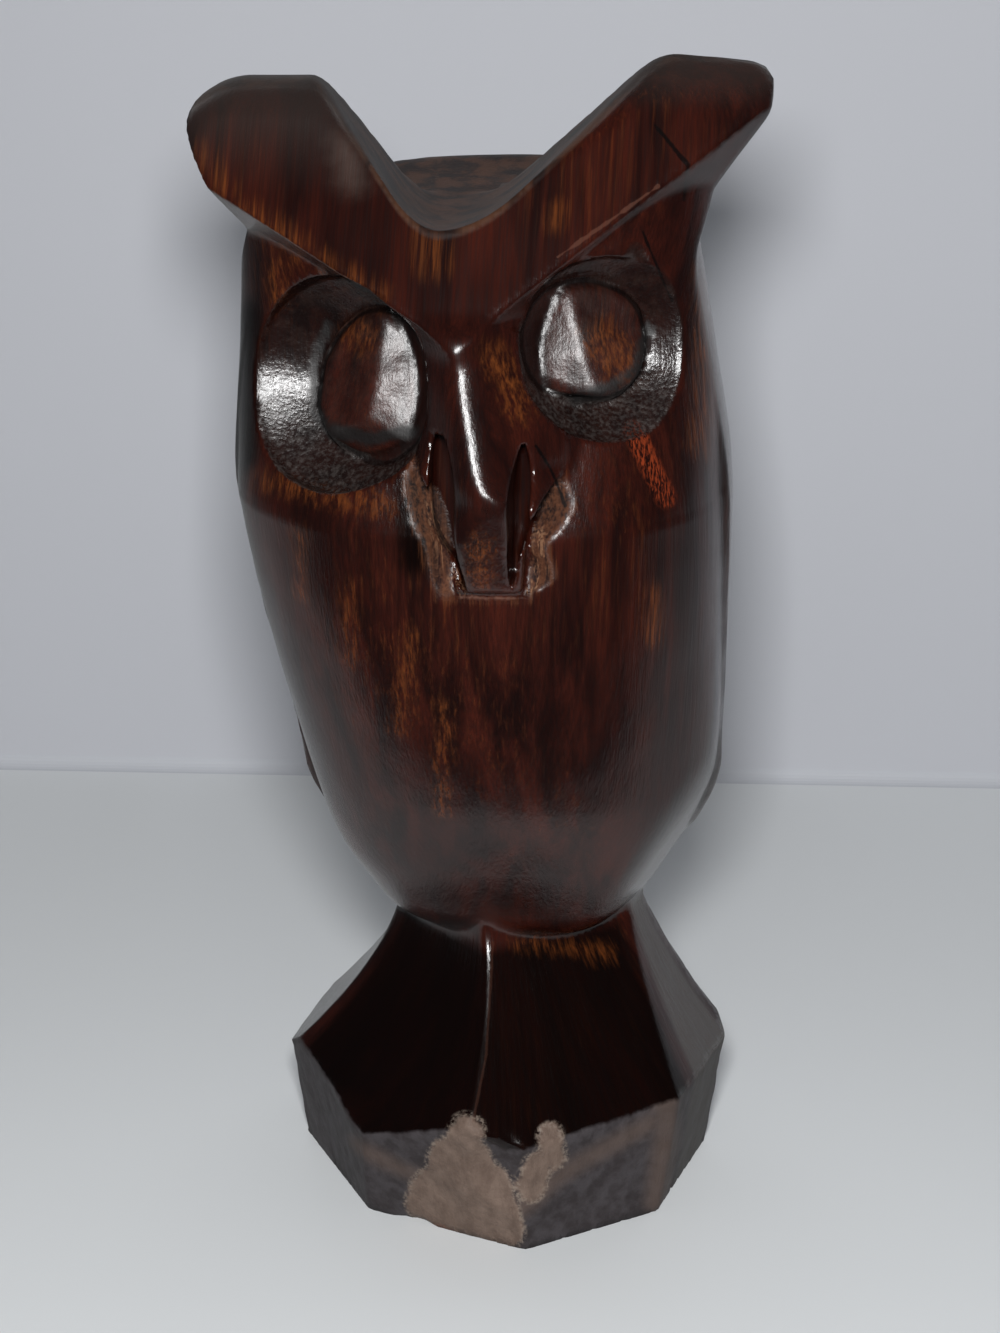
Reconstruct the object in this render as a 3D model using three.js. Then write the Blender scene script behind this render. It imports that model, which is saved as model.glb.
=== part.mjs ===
// A hand-carved ironwood owl on a rough faceted foot, cut from one block of wood.
// Units are millimetres. +Z is up, the owl looks along -Y and its own left side is at +X.
// The carving is written the way it is cut: a rounded stock, then planes, hollows and
// grooves taken out of it. Each cut is a field: negative inside the wood, positive outside.

import * as THREE from "three";

// Driving dimensions

const FACE_BOTTOM = 106.5;
const BROW_BOTTOM = 132;
const BROW_FRONT = -30.2;
const RIDGE_X = -2.4;
const NOTCH = 145.5;
const BELLY_BOTTOM = 41;
const WAIST = 43;
const RIM = 19;

// Rounds left where two surfaces meet

const CRISP = 0.4;
const SOFT = 1;
const ROUND = 2.4;
const WIDE = 4.5;

// Smooth joins of two fields, with r the size of the round left at the corner

const join = (a, b, r) => {
  const h = Math.max(r - Math.abs(a - b), 0) / r;
  return Math.min(a, b) - (h * h * r) / 4;
};
const both = (a, b, r) => -join(-a, -b, r);
const without = (a, b, r) => both(a, -b, r);
const smoothAbs = (t, r) => Math.sqrt(t * t + r * r) - r;
const ease = (t) => THREE.MathUtils.smoothstep(t, 0, 1);

// A plane through a point: the wood is behind it, against the normal
const plane = (point, normal) => {
  const n = new THREE.Vector3(...normal).normalize();
  const d = n.dot(new THREE.Vector3(...point));
  return (x, y, z) => n.x * x + n.y * y + n.z * z - d;
};

// A plane through an edge line and one more direction in it
const planeThrough = (from, to, along, outward) => {
  const a = new THREE.Vector3(...from);
  const n = new THREE.Vector3(...to).sub(a).cross(new THREE.Vector3(...along));
  if (n.dot(new THREE.Vector3(...outward)) < 0) n.negate();
  return plane(from, n.toArray());
};

const ellipsoid = (centre, size) => (x, y, z) => {
  const u = (x - centre[0]) / size[0];
  const v = (y - centre[1]) / size[1];
  const w = (z - centre[2]) / size[2];
  const k = Math.hypot(u, v, w);
  const steep = Math.hypot(u / size[0], v / size[1], w / size[2]);
  return steep < 1e-9 ? -Math.min(...size) : (k * (k - 1)) / steep;
};

// Smooth curve through a table of stations: a height, then one value per column
const stationValues = (stations, z) => {
  const last = stations.length - 1;
  if (z <= stations[0][0]) return stations[0].slice(1);
  if (z >= stations[last][0]) return stations[last].slice(1);
  let i = 0;
  while (z > stations[i + 1][0]) i++;
  const [z0, z1] = [stations[i][0], stations[i + 1][0]];
  const t = (z - z0) / (z1 - z0);
  const slope = (k, c) => {
    const [lo, hi] = [Math.max(k - 1, 0), Math.min(k + 1, last)];
    return (stations[hi][c] - stations[lo][c]) / (stations[hi][0] - stations[lo][0]);
  };
  return stations[i].slice(1).map((v0, j) => {
    const c = j + 1;
    const v1 = stations[i + 1][c];
    const m0 = slope(i, c) * (z1 - z0);
    const m1 = slope(i + 1, c) * (z1 - z0);
    const t2 = t * t;
    const t3 = t2 * t;
    return (2 * t3 - 3 * t2 + 1) * v0 + (t3 - 2 * t2 + t) * m0 + (3 * t2 - 2 * t3) * v1 + (t3 - t2) * m1;
  });
};

// A rounded-square section, fuller than an ellipse
const SECTION_POWER = 2.4;
const section = (x, y, [left, right, front, back]) => {
  const a = (right - left) / 2;
  const b = (back - front) / 2;
  const u = Math.abs(x - (left + right) / 2) / a;
  const v = Math.abs(y - (front + back) / 2) / b;
  const k = Math.pow(Math.pow(u, SECTION_POWER) + Math.pow(v, SECTION_POWER), 1 / SECTION_POWER);
  if (k < 1e-6) return -Math.min(a, b);
  const steep = Math.hypot(Math.pow(u, SECTION_POWER - 1) / a, Math.pow(v, SECTION_POWER - 1) / b);
  return ((k - 1) * Math.pow(k, SECTION_POWER - 1)) / steep;
};

// The stock of body and head: height, then left, right, front and back of the section
const STOCK = [
  [30, -15, 19.6, -13, 16],
  [38, -14.8, 20.8, -13, 16.5],
  [44, -17.5, 23.4, -15.2, 17.5],
  [54, -23.8, 28.6, -19.4, 22],
  [66, -27.6, 31.4, -24, 26.5],
  [88, -33, 31.8, -28.6, 30.5],
  [106.5, -36.4, 31.4, -30.2, 31],
  [121, -38.4, 30.4, -31, 30],
  [133, -37, 28.4, -31, 28.4],
  [141.5, -34, 26.8, -30, 27],
  [148, -31.5, 24.8, -29, 25.6],
];

// The stock of the two ears, which is wider and lies only over the front half of the head
const EAR_STOCK = [
  [128, -31, 25, -30, 0],
  [136, -32.6, 26.6, -30, 4],
  [142, -33.8, 27.8, -30, 7],
  [150, -38, 31.8, -30, 9],
  [158, -41.8, 38, -28, 9],
  [167, -43.2, 41.8, -24, 9],
];

// The crown's floor, which rises a little to the back and the right and is dished in front
const FLOOR_RISE = { back: 0.04, right: 0.03 };
const DISH = { depth: 2.4, reach: 24 };
const crownFloor = (x, y) => {
  const dish = DISH.depth * Math.max(1 - (y / DISH.reach) ** 2, 0);
  return NOTCH + FLOOR_RISE.back * (y + DISH.reach) + FLOOR_RISE.right * (x + 5) - dish;
};

// Ears: flat tops that fall away backwards, and the flanks of the notch between them
const EARS = {
  left: { top: 162.4, rise: 0.02, corner: 33, edge: -0.5, drop: 0.05 },
  right: { top: 164.9, rise: 0.02, corner: 36, edge: 1, drop: 0.3 },
};
const EAR_BACK_SLOPE = 2.4;
const NOTCH_LEFT = { start: -8.8, steepness: 1.45, turn: 0.1, pivot: -21 };
const NOTCH_RIGHT = { start: -0.8, steepness: 0.93 };
const TOP_STEEPNESS = 0.72;
const earTop = (x, y, { top, rise, corner, edge, drop }) => {
  const outer = top - drop * Math.max(Math.abs(x) - corner, 0) ** 2;
  return join(outer + rise * x, top - EAR_BACK_SLOPE * (y - edge), WIDE);
};
const crownTop = (x, y) => {
  const floor = crownFloor(x, y);
  const turned = NOTCH_LEFT.turn * (y - NOTCH_LEFT.pivot);
  const left = NOTCH_LEFT.steepness * (NOTCH_LEFT.start - x - turned);
  const right = NOTCH_RIGHT.steepness * (x - NOTCH_RIGHT.start);
  const ear = earTop(x, y, x < NOTCH_RIGHT.start ? EARS.left : EARS.right);
  return floor - join(0, -join(Math.max(left, right), ear - floor, ROUND), WIDE);
};
const underCrown = (x, y, z) => TOP_STEEPNESS * (z - crownTop(x, y));

// The head as it is before the face is cut: only the ears rise past the crown's floor
const blank = (x, y, z) => {
  const head = both(section(x, y, stationValues(STOCK, z)), z - crownFloor(x, y) - ROUND, ROUND);
  const ears = both(section(x, y, stationValues(EAR_STOCK, z)), EAR_STOCK[0][0] - z, SOFT);
  return both(join(head, ears, SOFT), underCrown(x, y, z), ROUND);
};

// Brow: one front that leans back and is swept back to both sides from the ridge over the nose
const BROW = { sweep: 0.19, skew: 0.06, lean: 0.64, ridge: 6 };
const EAR_ROUND = { from: 150, over: 10, size: 3.2 };
const browFront = (x, y, z) => {
  const off = x - RIDGE_X;
  const swept = BROW.sweep * smoothAbs(off, BROW.ridge) + BROW.skew * off;
  const front = BROW_FRONT + swept + BROW.lean * (z - BROW_BOTTOM);
  return (front - y) / Math.hypot(1, BROW.sweep, BROW.lean);
};
const browRound = (z) => CRISP + EAR_ROUND.size * ease((z - EAR_ROUND.from) / EAR_ROUND.over);
const underBrow = {
  left: planeThrough([-3, BROW_FRONT, 131.9], [-30.8, -18.5, 146.1], [0, 0.88, -0.47], [0, 0, -1]),
  right: planeThrough([-2.2, BROW_FRONT, 131.9], [25.7, -11.4, 152], [0.05, 0.72, -0.69], [0, 0, -1]),
};

// Face: the stock's own section, leaning back above the face's bottom edge
const FACE_LEAN = 0.26;
const FACE_SECTION = stationValues(STOCK, FACE_BOTTOM);
const faceFront = (x, y, z) => section(x, y - FACE_LEAN * (z - FACE_BOTTOM), FACE_SECTION);
const faceZone = (x, y, z) => {
  const under = x < RIDGE_X ? underBrow.left : underBrow.right;
  return both(-under(x, y, z), FACE_BOTTOM - z, CRISP);
};

// Nose ridge and beak: height, then x along the crest, half width, skew of the flanks and the
// round where they run out into the face
const NOSE = [
  [99, 4.2, 4.3, -0.2, 0.6],
  [108, 3.7, 5.2, -0.2, 0.6],
  [112, 3.3, 6.8, -0.2, 0.6],
  [115.2, 1.5, 9, -0.16, 1.4],
  [117.5, 0.3, 9.2, 0.05, 2.3],
  [121, -0.7, 9.2, 0.2, 2.8],
  [127, -1.9, 9.2, 0.2, 2.8],
  [133, -2.5, 9.2, 0.2, 2.8],
];
const NOSE_LEAN = 0.34;
const NOSE_SPREAD = 1.05;
const NOSE_CREST = 1.7;
const NOSE_MIDDLE = 1.7;
const NOSE_BACK = -18;
const BEAK_TIP = [3, -37.2, 113.3];
const BEAK_BOTTOM = 99.2;
const beakFront = plane(BEAK_TIP, [0.08, -1, -0.45]);
const beak = (x, y, z) => {
  const [crestX, half, skew] = stationValues(NOSE, z);
  const off = x - crestX;
  const crest = BEAK_TIP[1] + NOSE_LEAN * (z - BEAK_TIP[2]);
  const flanks = crest + NOSE_SPREAD * smoothAbs(off, NOSE_CREST) - skew * off - y;
  const ends = both(y - NOSE_BACK, BEAK_BOTTOM - z, SOFT);
  const reach = both(Math.abs(x - NOSE_MIDDLE) - half, ends, SOFT);
  const ridge = both(flanks / Math.hypot(1, NOSE_SPREAD), reach, CRISP);
  return both(both(ridge, beakFront(x, y, z), SOFT), z - BROW_BOTTOM - SOFT, SOFT);
};
const withBeak = (wood, x, y, z) => {
  const fillet = stationValues(NOSE, z)[3];
  return join(wood, beak(x, y, z), fillet);
};

// The pocket round the beak, whose walls slope in: height, then x of its left and right edges
const POCKET = [
  [98.8, -4.8, 6.6],
  [101, -5.6, 9.6],
  [105.6, -6.6, 8.8],
  [108, -7.6, 10.6],
  [110.6, -8.4, 11.8],
  [114.2, -8.9, 10.6],
  [118.2, -7.5, 8.9],
  [121, -5.4, 6],
  [124, 0, 0],
];
const POCKET_SLOPE = 0.62;
const POCKET_DEPTH = 2.6;
const pocketed = (wood, x, y, z) => {
  if (y > 0) return wood;
  const [left, right] = stationValues(POCKET, z);
  const inward = Math.min(x - left, right - x, 0.8 * (z - POCKET[0][0]));
  const depth = Math.min(POCKET_SLOPE * inward, POCKET_DEPTH);
  return Math.max(wood, Math.min(inward, wood + depth));
};

// Slots down both sides of the beak: height, then x of the left and right walls
const SLOTS = [
  [
    [99.6, -1.6, -1],
    [103, -3, -1.6],
    [106, -4.8, -2.1],
    [110, -5.9, -2.4],
    [115, -6, -2.3],
    [118, -5.8, -2.9],
    [120.6, -5.2, -3.8],
  ],
  [
    [100.4, 4.5, 5],
    [104, 4.4, 5.6],
    [108, 4.6, 6.8],
    [112, 4.6, 7.3],
    [115.5, 4.8, 7.2],
    [118, 5.4, 6.9],
    [119.6, 5.9, 6.5],
  ],
];
const SLOT_FLOOR = -26;
const slot = (walls, x, y, z) => {
  const [left, right] = stationValues(walls, z);
  const across = Math.max(left - x, x - right);
  const ends = both(z - walls[walls.length - 1][0], walls[0][0] - z, CRISP);
  return both(both(across, y - SLOT_FLOOR, CRISP), ends, CRISP);
};

// Eyes: a dished band cut into the face round a faceted eyeball that is left standing in it
const BAND_CURVE = 1.4;
const BAND_END = 1.06;
const BALL_TAPER = 0.03;
const EYE_LEAN = 0.26;
const eye = ({ centre, radii, depth, ballAt, ballRadii, turn, facets }) => {
  const out = new THREE.Vector3(Math.sin(turn), -Math.cos(turn), EYE_LEAN).normalize();
  const side = new THREE.Vector3(Math.cos(turn), Math.sin(turn), 0);
  const up = new THREE.Vector3().crossVectors(side, out).negate().normalize();
  if (up.z < 0) up.negate();
  const local = (x, y, z) => {
    const p = new THREE.Vector3(x - centre[0], y - centre[1], z - centre[2]);
    return [p.dot(side), p.dot(up), p.dot(out)];
  };
  const planes = facets.map(({ at, facing }) => plane(at, facing));
  return {
    socket: (x, y, z) => {
      const [s, u, o] = local(x, y, z);
      const across = Math.hypot(s / radii[0], u / radii[1]);
      const floor = depth * (across ** BAND_CURVE - 1);
      return both(0.75 * (floor - o), radii[1] * (across - BAND_END), CRISP);
    },
    ball: (x, y, z) => {
      const [s, u, o] = local(x, y, z);
      const across = Math.hypot((s - ballAt[0]) / ballRadii[0], (u - ballAt[1]) / ballRadii[1]);
      const wall = 0.9 * Math.min(...ballRadii) * (across - 1 + BALL_TAPER * o);
      return planes.reduce((shape, cut) => both(shape, cut(s, u, o), CRISP), wall);
    },
  };
};
const EYES = [
  eye({
    centre: [-18.4, -19.6, 123.9],
    radii: [13.6, 13.3],
    depth: 7.2,
    ballAt: [3.6, 0.6],
    ballRadii: [9.3, 9.9],
    turn: -0.46,
    facets: [
      { at: [4.6, 0, 0.4], facing: [0.5, 0.12, 1] },
      { at: [4.6, 0, 0.4], facing: [-0.2, 0.1, 1] },
      { at: [4, -5, 0.2], facing: [0.1, -0.7, 1] },
    ],
  }),
  eye({
    centre: [16.3, -19.2, 129.5],
    radii: [12.2, 11.2],
    depth: 6.2,
    ballAt: [-2.6, 1.4],
    ballRadii: [8.6, 7.8],
    turn: 0.46,
    facets: [
      { at: [-3.8, 0, 0.4], facing: [-0.5, 0.05, 1] },
      { at: [-3.8, 0, 0.4], facing: [0.12, 0.14, 1] },
    ],
  }),
];

// A slipped cut runs out of the right socket's top
const nick = ellipsoid([20.2, -18.6, 140.5], [2.3, 3.4, 5]);

// Flanks: folded wings that stand a little proud, and the flat cut under the right one
const WING = [
  [44, -20, 24, -18, 20],
  [56, -27.6, 31.2, -20, 24.5],
  [70, -30.4, 31.9, -24, 28.8],
  [88, -34.2, 32.4, -27, 31.8],
  [106.5, -36.8, 32.4, -28.5, 31.8],
  [118, -36, 30.8, -28, 30.2],
  [130, -34, 27, -26, 27.2],
];
const WING_FRONT = { y: -5, lean: 0.16 };
const WING_UNDER = { z: 56, left: 27.8, right: 36, angle: THREE.MathUtils.degToRad(30) };
const WING_TIP = { z: 50, y: 8, slope: 0.4 };
const WING_TOP = 129;
const wings = (x, y, z) => {
  const outer = section(x, y, stationValues(WING, z));
  const front = WING_FRONT.y + WING_FRONT.lean * (FACE_BOTTOM - z) - y;
  const reach = x > 0 ? WING_UNDER.right : WING_UNDER.left;
  const out = Math.cos(WING_UNDER.angle) * (Math.abs(x) - reach);
  const under = out - Math.sin(WING_UNDER.angle) * (z - WING_UNDER.z);
  const tip = Math.max(under, WING_TIP.z - WING_TIP.slope * (y - WING_TIP.y) - z);
  return both(both(outer, front, SOFT), both(tip, z - WING_TOP, SOFT), SOFT);
};
const lowerRightCut = plane([31.4, 5, 58], [0.82, -0.3, -0.5]);

// Tail: a flat wedge down the back to the foot, which narrows and comes forward to its tip
const TAIL = { back: 27.5, front: 8, x: 2, half: 12, top: 84, bottom: 12 };
const TAIL_TAPER = { from: 70, forward: 0.12, narrower: 0.06 };
const tail = (x, y, z) => {
  const down = TAIL_TAPER.from - z;
  const back = y - TAIL.back + TAIL_TAPER.forward * down;
  const width = Math.abs(x - TAIL.x) - TAIL.half + TAIL_TAPER.narrower * down;
  const ends = both(z - TAIL.top, TAIL.bottom - z, SOFT);
  return both(both(back, width, ROUND), both(TAIL.front - y, ends, SOFT), ROUND);
};

// Foot: flared facets from the waist to a rim, and rough upright faces under it
const FLARE = [
  { azimuth: -45, waist: 11.6, rim: 26.1, bend: 1.5 },
  { azimuth: 31, waist: 13.3, rim: 29.6, bend: 1.2 },
  { azimuth: 74, waist: 19.6, rim: 31.5, bend: 1.25 },
  { azimuth: 128, waist: 18, rim: 31, bend: 1.2 },
  { azimuth: 176, waist: 18, rim: 31.5, bend: 1.3 },
  { azimuth: -138, waist: 16, rim: 30, bend: 1.3 },
  { azimuth: -98, waist: 14.5, rim: 29.3, bend: 1.6 },
];
const SIDES = [
  { azimuth: -59.6, ground: 25.2, rim: 28.3 },
  { azimuth: -20.2, ground: 25.2, rim: 30.6 },
  { azimuth: 34.6, ground: 27.9, rim: 30.2 },
  { azimuth: 74.1, ground: 28.5, rim: 31.6 },
  { azimuth: 120, ground: 29.5, rim: 31 },
  { azimuth: 164, ground: 29, rim: 31 },
  { azimuth: -150, ground: 28, rim: 30 },
  { azimuth: -104, ground: 29.6, rim: 31 },
];
const INTO_BODY = 10;
const outwards = (azimuth, x, y) => {
  const a = THREE.MathUtils.degToRad(azimuth);
  return x * Math.sin(a) - y * Math.cos(a);
};
const flare = (x, y, z) => {
  const t = (WAIST - z) / (WAIST - RIM);
  const facets = FLARE.map(({ azimuth, waist, rim, bend }) => {
    const reach = t > 0 ? waist + (rim - waist) * Math.pow(t, bend) : waist + INTO_BODY * t;
    return 0.8 * (outwards(azimuth, x, y) - reach);
  });
  return facets.reduce((a, b) => both(a, b, CRISP));
};
const sides = (x, y, z) => {
  const faces = SIDES.map(({ azimuth, ground, rim }) =>
    outwards(azimuth, x, y) - ground - ((rim - ground) * z) / RIM);
  return faces.reduce((a, b) => both(a, b, CRISP));
};

// Chips out of the foot: a notch in the front rim, the rough hollow below it, one in the heel
const CHIPS = [
  ellipsoid([5.4, -34, 20.4], [3, 3, 3.6]),
  ellipsoid([3, -40, 11], [13, 10.2, 13]),
  ellipsoid([-12, -25.4, -0.4], [5.4, 3.4, 2]),
];
const foot = (x, y, z) => {
  const block = both(both(flare(x, y, z), sides(x, y, z), CRISP), -z, CRISP);
  return CHIPS.reduce((shape, chip) => without(shape, chip(x, y, z), CRISP), block);
};

// The whole carving
const owl = (x, y, z) => {
  let wood = both(blank(x, y, z), browFront(x, y, z), browRound(z));
  wood = both(wood, join(faceFront(x, y, z), -faceZone(x, y, z), CRISP), CRISP);
  wood = withBeak(pocketed(wood, x, y, z), x, y, z);
  wood = SLOTS.reduce((shape, walls) => without(shape, slot(walls, x, y, z), CRISP), wood);
  for (const { socket, ball } of EYES) {
    const hollow = without(socket(x, y, z), ball(x, y, z), CRISP);
    wood = without(wood, hollow, CRISP);
  }
  wood = without(wood, nick(x, y, z), CRISP);
  wood = both(join(wood, wings(x, y, z), SOFT), lowerRightCut(x, y, z), ROUND);
  wood = both(wood, BELLY_BOTTOM - z, WIDE);
  wood = join(wood, tail(x, y, z), SOFT);
  return join(wood, foot(x, y, z), SOFT);
};

// Small vectors as plain triples, which the skinning and the thinning share

const subtract = (a, b) => [a[0] - b[0], a[1] - b[1], a[2] - b[2]];
const dot = (a, b) => a[0] * b[0] + a[1] * b[1] + a[2] * b[2];
const cross = (a, b) => [
  a[1] * b[2] - a[2] * b[1],
  a[2] * b[0] - a[0] * b[2],
  a[0] * b[1] - a[1] * b[0],
];
const length = (a) => Math.hypot(...a);

// Where three planes meet, given by their normals and how far out along them they lie
const meetingPoint = ([a, b, c], reach) => {
  const volume = dot(a, cross(b, c));
  const [bc, ca, ab] = [cross(b, c), cross(c, a), cross(a, b)];
  return [0, 1, 2].map((n) => (reach[0] * bc[n] + reach[1] * ca[n] + reach[2] * ab[n]) / volume);
};

// Skinning: every grid line that the surface crosses gives a point and a slope. Each grid cell
// around it gets one vertex where those slopes meet, so that carved edges stay crisp.

const SLOPE_STEP = 0.01;
const HALVINGS = 9;
const slopeAt = (field, [x, y, z]) => {
  const h = SLOPE_STEP;
  const g = [
    field(x + h, y, z) - field(x - h, y, z),
    field(x, y + h, z) - field(x, y - h, z),
    field(x, y, z + h) - field(x, y, z - h),
  ];
  const size = length(g) || 1;
  return g.map((v) => v / size);
};
const crossing = (field, from, axis, step, ends) => {
  const at = (t) => from.map((v, c) => (c === axis ? v + t * step : v));
  const startsInside = field(...from) < 0;
  const endsInside = field(...at(1)) < 0;
  if (endsInside === startsInside) return at(Math.abs(ends[0]) < Math.abs(ends[1]) ? 0 : 1);
  let [low, high] = [0, 1];
  for (let halving = 0; halving < HALVINGS; halving++) {
    const middle = (low + high) / 2;
    const inside = field(...at(middle)) < 0;
    if (inside === startsInside) low = middle;
    else high = middle;
  }
  return at((low + high) / 2);
};

// Where inside and outside meet only corner to corner, the corner nearest the surface changes
// side, so that no two sheets of the skin ever share a line
const TOUCH = 1e-6;
const ROUNDS = 20;
const untangle = (values, stride) => {
  const flip = (corners) => {
    const nearest = corners.reduce((a, b) => (Math.abs(values[b]) < Math.abs(values[a]) ? b : a));
    values[nearest] = values[nearest] < 0 ? TOUCH : -TOUCH;
  };
  const [x, y, z] = stride;
  const end = values.length - x - y - z;
  let changes = 1;
  for (let round = 0; changes > 0 && round < ROUNDS; round++) {
    changes = 0;
    for (let n = 0; n < end; n++) {
      for (let axis = 0; axis < 3; axis++) {
        const [u, v] = [stride[(axis + 1) % 3], stride[(axis + 2) % 3]];
        const ring = [n, n + u, n + u + v, n + v];
        const [a, b, c, d] = ring.map((m) => values[m] < 0);
        if (a === c && b === d && a !== b) {
          flip(ring);
          changes++;
        }
      }
      const cube = [n, n + x, n + y, n + z, n + x + y, n + y + z, n + x + z, n + x + y + z];
      const inside = cube.map((m) => values[m] < 0);
      const count = inside.filter((side) => side).length;
      if (count !== 2 && count !== 6) continue;
      const rare = count === 2;
      for (const [p, q] of [[0, 7], [1, 5], [2, 6], [3, 4]]) {
        if (inside[p] === rare && inside[q] === rare) {
          flip([cube[p], cube[q]]);
          changes++;
        }
      }
    }
  }
};

// How strongly a vertex is held to the middle of its crossings, and how far it may leave it
const CENTRE_PULL = 0.06;
const FREE_REACH = 0.7;
const skin = (field, low, high, cell) => {
  const [nx, ny, nz] = low.map((l, c) => Math.ceil((high[c] - l) / cell) + 1);
  const stride = [1, nx, nx * ny];
  const corner = (i, j, k) => [low[0] + i * cell, low[1] + j * cell, low[2] + k * cell];
  const values = new Float64Array(nx * ny * nz);
  for (let n = 0; n < values.length; n++) {
    const [i, j, k] = [n % nx, Math.floor(n / nx) % ny, Math.floor(n / (nx * ny))];
    values[n] = field(...corner(i, j, k));
  }
  untangle(values, stride);

  const cells = new Map();
  const note = (n, point, slope) => {
    if (!cells.has(n)) cells.set(n, { points: [], slopes: [] });
    cells.get(n).points.push(point);
    cells.get(n).slopes.push(slope);
  };
  const patches = [];
  for (let k = 1; k < nz - 1; k++) {
    for (let j = 1; j < ny - 1; j++) {
      for (let i = 1; i < nx - 1; i++) {
        const n = i + nx * j + nx * ny * k;
        const inside = values[n] < 0;
        for (let axis = 0; axis < 3; axis++) {
          const ends = [values[n], values[n + stride[axis]]];
          const nextInside = ends[1] < 0;
          if (nextInside === inside) continue;
          const point = crossing(field, corner(i, j, k), axis, cell, ends);
          const slope = slopeAt(field, point);
          const u = stride[(axis + 1) % 3];
          const v = stride[(axis + 2) % 3];
          const ring = [n - u - v, n - v, n, n - u];
          for (const c of ring) note(c, point, slope);
          patches.push(inside ? ring : ring.reverse());
        }
      }
    }
  }

  const vertices = [];
  const number = new Map();
  const limit = FREE_REACH * cell;
  for (const [n, { points, slopes }] of cells) {
    const centre = [0, 1, 2].map((c) => points.reduce((sum, p) => sum + p[c], 0) / points.length);
    const rows = [0, 1, 2].map((r) => [0, 1, 2].map((c) =>
      slopes.reduce((sum, s) => sum + s[r] * s[c], r === c ? CENTRE_PULL : 0)));
    const reach = [0, 0, 0];
    slopes.forEach((s, m) => {
      const out = dot(s, subtract(points[m], centre));
      for (let c = 0; c < 3; c++) reach[c] += s[c] * out;
    });
    const move = meetingPoint(rows, reach);
    number.set(n, vertices.length);
    vertices.push(centre.map((v, c) => v + THREE.MathUtils.clamp(move[c], -limit, limit)));
  }

  const triangles = [];
  const gap = (p, q) => length(subtract(vertices[p], vertices[q]));
  for (const patch of patches) {
    const [a, b, c, d] = patch.map((n) => number.get(n));
    if (gap(a, c) < gap(b, d)) triangles.push([a, b, c], [a, c, d]);
    else triangles.push([a, b, d], [b, c, d]);
  }
  return { vertices, triangles };
};

// Thinning: edges collapse where that changes the surface least, and flat or gently curved
// stretches end in few large facets. Each vertex keeps the summed squares of its planes.

const TERMS = 10;
const MIDPOINT_PULL = 1e-3;
const LENGTH_COST = 1e-5;
const LEAST_TURN = 0.4;
const LEAST_HEIGHT = 0.08;
const planeTerms = ([p, q, r], d) => [
  p * p, p * q, p * r, p * d, q * q, q * r, q * d, r * r, r * d, d * d,
];
const errorAt = (q, [x, y, z]) =>
  q[0] * x * x + q[4] * y * y + q[7] * z * z +
  2 * (q[1] * x * y + q[2] * x * z + q[5] * y * z + q[3] * x + q[6] * y + q[8] * z) + q[9];

// A heap of possible collapses, cheapest first
class Heap {
  constructor() {
    this.items = [];
  }

  swap(a, b) {
    [this.items[a], this.items[b]] = [this.items[b], this.items[a]];
  }

  push(item) {
    this.items.push(item);
    let at = this.items.length - 1;
    while (at > 0) {
      const parent = (at - 1) >> 1;
      if (this.items[parent].cost <= this.items[at].cost) break;
      this.swap(parent, at);
      at = parent;
    }
  }

  pop() {
    this.swap(0, this.items.length - 1);
    const top = this.items.pop();
    let at = 0;
    for (;;) {
      let least = at;
      for (const child of [2 * at + 1, 2 * at + 2]) {
        const cheaper = child < this.items.length && this.items[child].cost < this.items[least].cost;
        if (cheaper) least = child;
      }
      if (least === at) return top;
      this.swap(least, at);
      at = least;
    }
  }
}

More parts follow.
